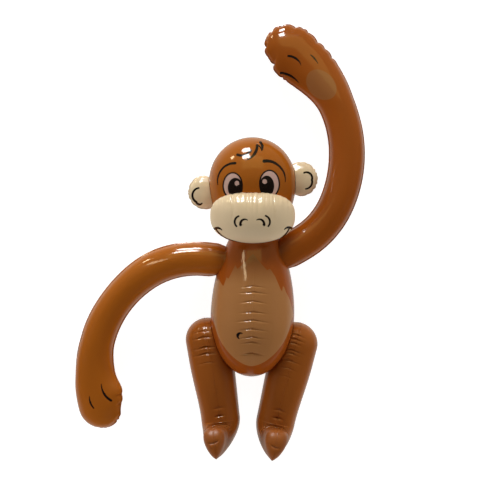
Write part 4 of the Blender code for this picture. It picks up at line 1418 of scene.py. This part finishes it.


# %% [markdown]
# ## Colours, one material for each piece
# The film is brown or cream all through; the tan patches, the ink and the whites of the eyes are
# printed on it. The browns of the head, the arms and the legs differ from the torso's only as painted
# light: the head's is lighter and yellower for a painted warm sheen, the hanging arm's is painted lit
# and the raised arm's painted shaded, and the legs' is set for how they are lit. Each mark's points are
# millimetres across and along the toy, as seen from above, and marks are kept to the front sheet by
# the value that the grid gives each point.

# %% The inks
# Painted light: every brown but the torso's is the same film with light or shade put into its colour. The
# head's carries a painted warm sheen, the hanging arm's is painted lit, the raised arm's is painted shaded,
# and the legs' is painted for their light.
TORSO_BROWN, HEAD_BROWN_PAINTED_SHEEN, LEG_BROWN_PAINTED_LIGHT = (0.380, 0.082, 0.008), (0.428, 0.119, 0.010), (0.385, 0.106, 0.015)
ARM_BROWNS_PAINTED_LIGHT_AND_SHADE = {"left_arm": (0.360, 0.085, 0.007), "right_arm": (0.460, 0.125, 0.010)}
TAN, NECK_PAINTED_SHADE_TAN, PALM_TAN = (0.470, 0.203, 0.068), (0.300, 0.090, 0.018), (0.337, 0.122, 0.034)
CREAM, VALVE_GREY = (0.880, 0.685, 0.445), (0.60, 0.59, 0.56)
INK, EYE_WHITE = (0.012, 0.006, 0.004), (0.690, 0.450, 0.390)
print("browns:", len({TORSO_BROWN, HEAD_BROWN_PAINTED_SHEEN, LEG_BROWN_PAINTED_LIGHT, *ARM_BROWNS_PAINTED_LIGHT_AND_SHADE.values()}))

# %% Brown film with the belly print
NECK_SHADE_START, NECK_SHADE_END = 46.0, 80.0

sheet = Sheet("torso_vinyl")
# The tan darkens towards the neck: a painted shadow of the muzzle on the neck.
neck_shade = calc_range(sheet.tree, sheet.lengthwise(), NECK_SHADE_START, NECK_SHADE_END)
tan_mask = sheet.edge(sheet.field("belly_print"), EDGE_SOFT)
colour = sheet.lay(TORSO_BROWN, sheet.lay(TAN, NECK_PAINTED_SHADE_TAN, neck_shade), tan_mask)
navel = sheet.stroke((-14.3, -20.9), (-20.4, -23.2), (-18.0, -28.4), (1.0, 4.4, 0.9))
torso.data.materials.append(sheet.finish(sheet.printed(colour, INK, navel)))

# %% Brown film with the face
EYE_LINE = 2.1

sheet = Sheet("face_vinyl")
eyes = sheet.most([sheet.oval((-27.5, 180.6), 14.0, 18.6), sheet.oval((22.9, 183.1), 14.5, 19.3)])
irises = sheet.most([sheet.oval((-23.8, 177.6), 10.3, 13.6), sheet.oval((19.1, 180.0), 10.2, 14.0)])
glints = sheet.most([sheet.oval((-21.6, 183.8), 3.1, 3.3), sheet.oval((16.2, 186.0), 3.2, 3.4)])
brows_and_tuft = sheet.most([
    sheet.stroke((-47.9, 182.5), (-45.8, 198.2), (-38.5, 207.3), (1.2, 2.4, 3.0)),
    sheet.stroke((-38.5, 207.3), (-32.0, 210.3), (-24.2, 211.4), (3.0, 3.3, 3.9)),
    sheet.stroke((15.5, 214.0), (24.5, 213.9), (33.5, 209.8), (4.9, 4.2, 3.4)),
    sheet.stroke((33.5, 209.8), (41.5, 201.5), (44.7, 186.3), (3.4, 2.7, 1.0)),
    sheet.stroke((-20.6, 223.2), (-12.2, 222.4), (-3.0, 228.9), (3.9, 3.0, 3.6)),
    sheet.stroke((-7.3, 216.2), (1.6, 223.0), (6.1, 236.9), (1.8, 4.2, 3.6)),
    sheet.stroke((6.1, 236.9), (10.2, 234.3), (12.4, 228.6), (2.0, 2.0, 1.0)),
    sheet.stroke((11.0, 241.2), (13.2, 236.1), (12.6, 228.6), (4.2, 3.6, 1.0)),
])
whites = calc(sheet.tree, "SUBTRACT", eyes, EYE_LINE)
# The head's brown is lighter and yellower than the torso's: a painted warm sheen.
colour = HEAD_BROWN_PAINTED_SHEEN
layers = (
    (INK, eyes), (EYE_WHITE, whites), (INK, irises), (EYE_WHITE, glints), (INK, brows_and_tuft),
)
for ink, inside in layers:
    colour = sheet.printed(colour, ink, inside)
head.data.materials.append(sheet.finish(colour))

# %% Cream film with the nose and the mouth
sheet = Sheet("muzzle_vinyl")
nose_and_mouth = sheet.most([
    sheet.stroke((-19.3, 138.5), (-24.3, 133.0), (-22.1, 125.0), (2.5, 2.9, 2.3)),
    sheet.stroke((-7.4, 133.2), (-13.5, 133.6), (-16.7, 127.0), (1.3, 2.9, 3.5)),
    sheet.stroke((17.1, 138.9), (22.7, 133.0), (20.8, 125.0), (2.5, 2.9, 2.3)),
    sheet.stroke((5.2, 133.4), (11.6, 133.6), (15.1, 127.0), (1.3, 2.9, 3.5)),
    sheet.oval((-16.6, 127.2), 2.0, 2.1), sheet.oval((15.0, 127.2), 2.0, 2.1),
    sheet.stroke((-52.5, 121.6), (-47.9, 122.8), (-42.2, 120.0), (3.5, 3.2, 1.3)),
    sheet.stroke((43.1, 120.7), (48.4, 123.6), (54.0, 122.0), (1.3, 3.2, 3.2)),
    sheet.stroke((-50.4, 121.6), (-43.0, 112.9), (-31.0, 106.6), (2.3, 2.0, 1.7)),
    sheet.stroke((-31.0, 106.6), (-1.0, 101.0), (29.0, 105.2), (1.7, 1.7, 1.7)),
    sheet.stroke((29.0, 105.2), (41.0, 110.6), (49.7, 121.8), (1.7, 2.0, 2.3)),
])
muzzle.data.materials.append(sheet.finish(sheet.printed(CREAM, INK, nose_and_mouth), drift=0.03, gloss=0.11))

# %% Cream film for the ears and brown film for the arms, each with its own lines
LINES = {
    "right_ear": (
        ((-75.1, 178.9), (-83.6, 171.0), (-78.5, 159.6), (2.7, 3.2, 3.2)),
        ((-78.5, 159.6), (-74.5, 156.0), (-70.6, 157.4), (3.2, 3.2, 2.2)),
    ),
    "left_ear": (
        ((72.0, 200.1), (79.0, 200.0), (82.9, 190.3), (2.7, 3.2, 3.2)),
        ((82.9, 190.3), (80.5, 180.6), (74.2, 177.7), (3.2, 3.0, 2.0)),
    ),
    "left_arm": (
        ((51.1, 367.3), (60.2, 364.6), (69.0, 353.9), (3.2, 3.2, 0.9)),
        ((82.9, 368.6), (88.4, 363.0), (92.7, 356.2), (1.8, 2.5, 0.9)),
        ((41.0, 344.4), (51.5, 341.2), (65.7, 329.9), (3.2, 3.2, 0.9)),
    ),
    "right_arm": (
        ((-212.2, -95.9), (-207.5, -110.5), (-198.4, -119.0), (0.9, 3.2, 3.4)),
        ((-229.7, -113.7), (-228.9, -122.0), (-223.8, -130.7), (0.9, 2.8, 2.3)),
    ),
}
PALM_PATCH = ((97.4, 325.6), 24.5, 18.0, 48.0)

for name, lines in LINES.items():
    sheet = Sheet(name + "_vinyl")
    # An arm's brown carries painted light: the hanging arm's is painted lit, the raised arm's painted shaded.
    colour = ARM_BROWNS_PAINTED_LIGHT_AND_SHADE.get(name, CREAM)
    if name == "left_arm":
        colour = sheet.printed(colour, PALM_TAN, sheet.oval(*PALM_PATCH), EDGE_SOFT)
    colour = sheet.printed(colour, INK, sheet.most([sheet.stroke(*line) for line in lines]))
    if name in ears:
        ears[name].data.materials.append(sheet.finish(colour, drift=0.03, gloss=0.12))
    else:
        arms[name].data.materials.append(sheet.finish(colour))

# %% Brown film for the legs and clear vinyl for the valve
# The legs' tone drifts more and is stretched along them: painted reflections, long streaks of light and shade
# down the shin.
leg_vinyl = Sheet("leg_vinyl").finish(LEG_BROWN_PAINTED_LIGHT, drift=0.14, gloss=0.12, stretch=0.25)
for leg in legs.values():
    leg.data.materials.append(leg_vinyl)
valve.data.materials.append(Sheet("clear_valve_vinyl").finish(VALVE_GREY, drift=0.02, gloss=0.3, coat=0.3))
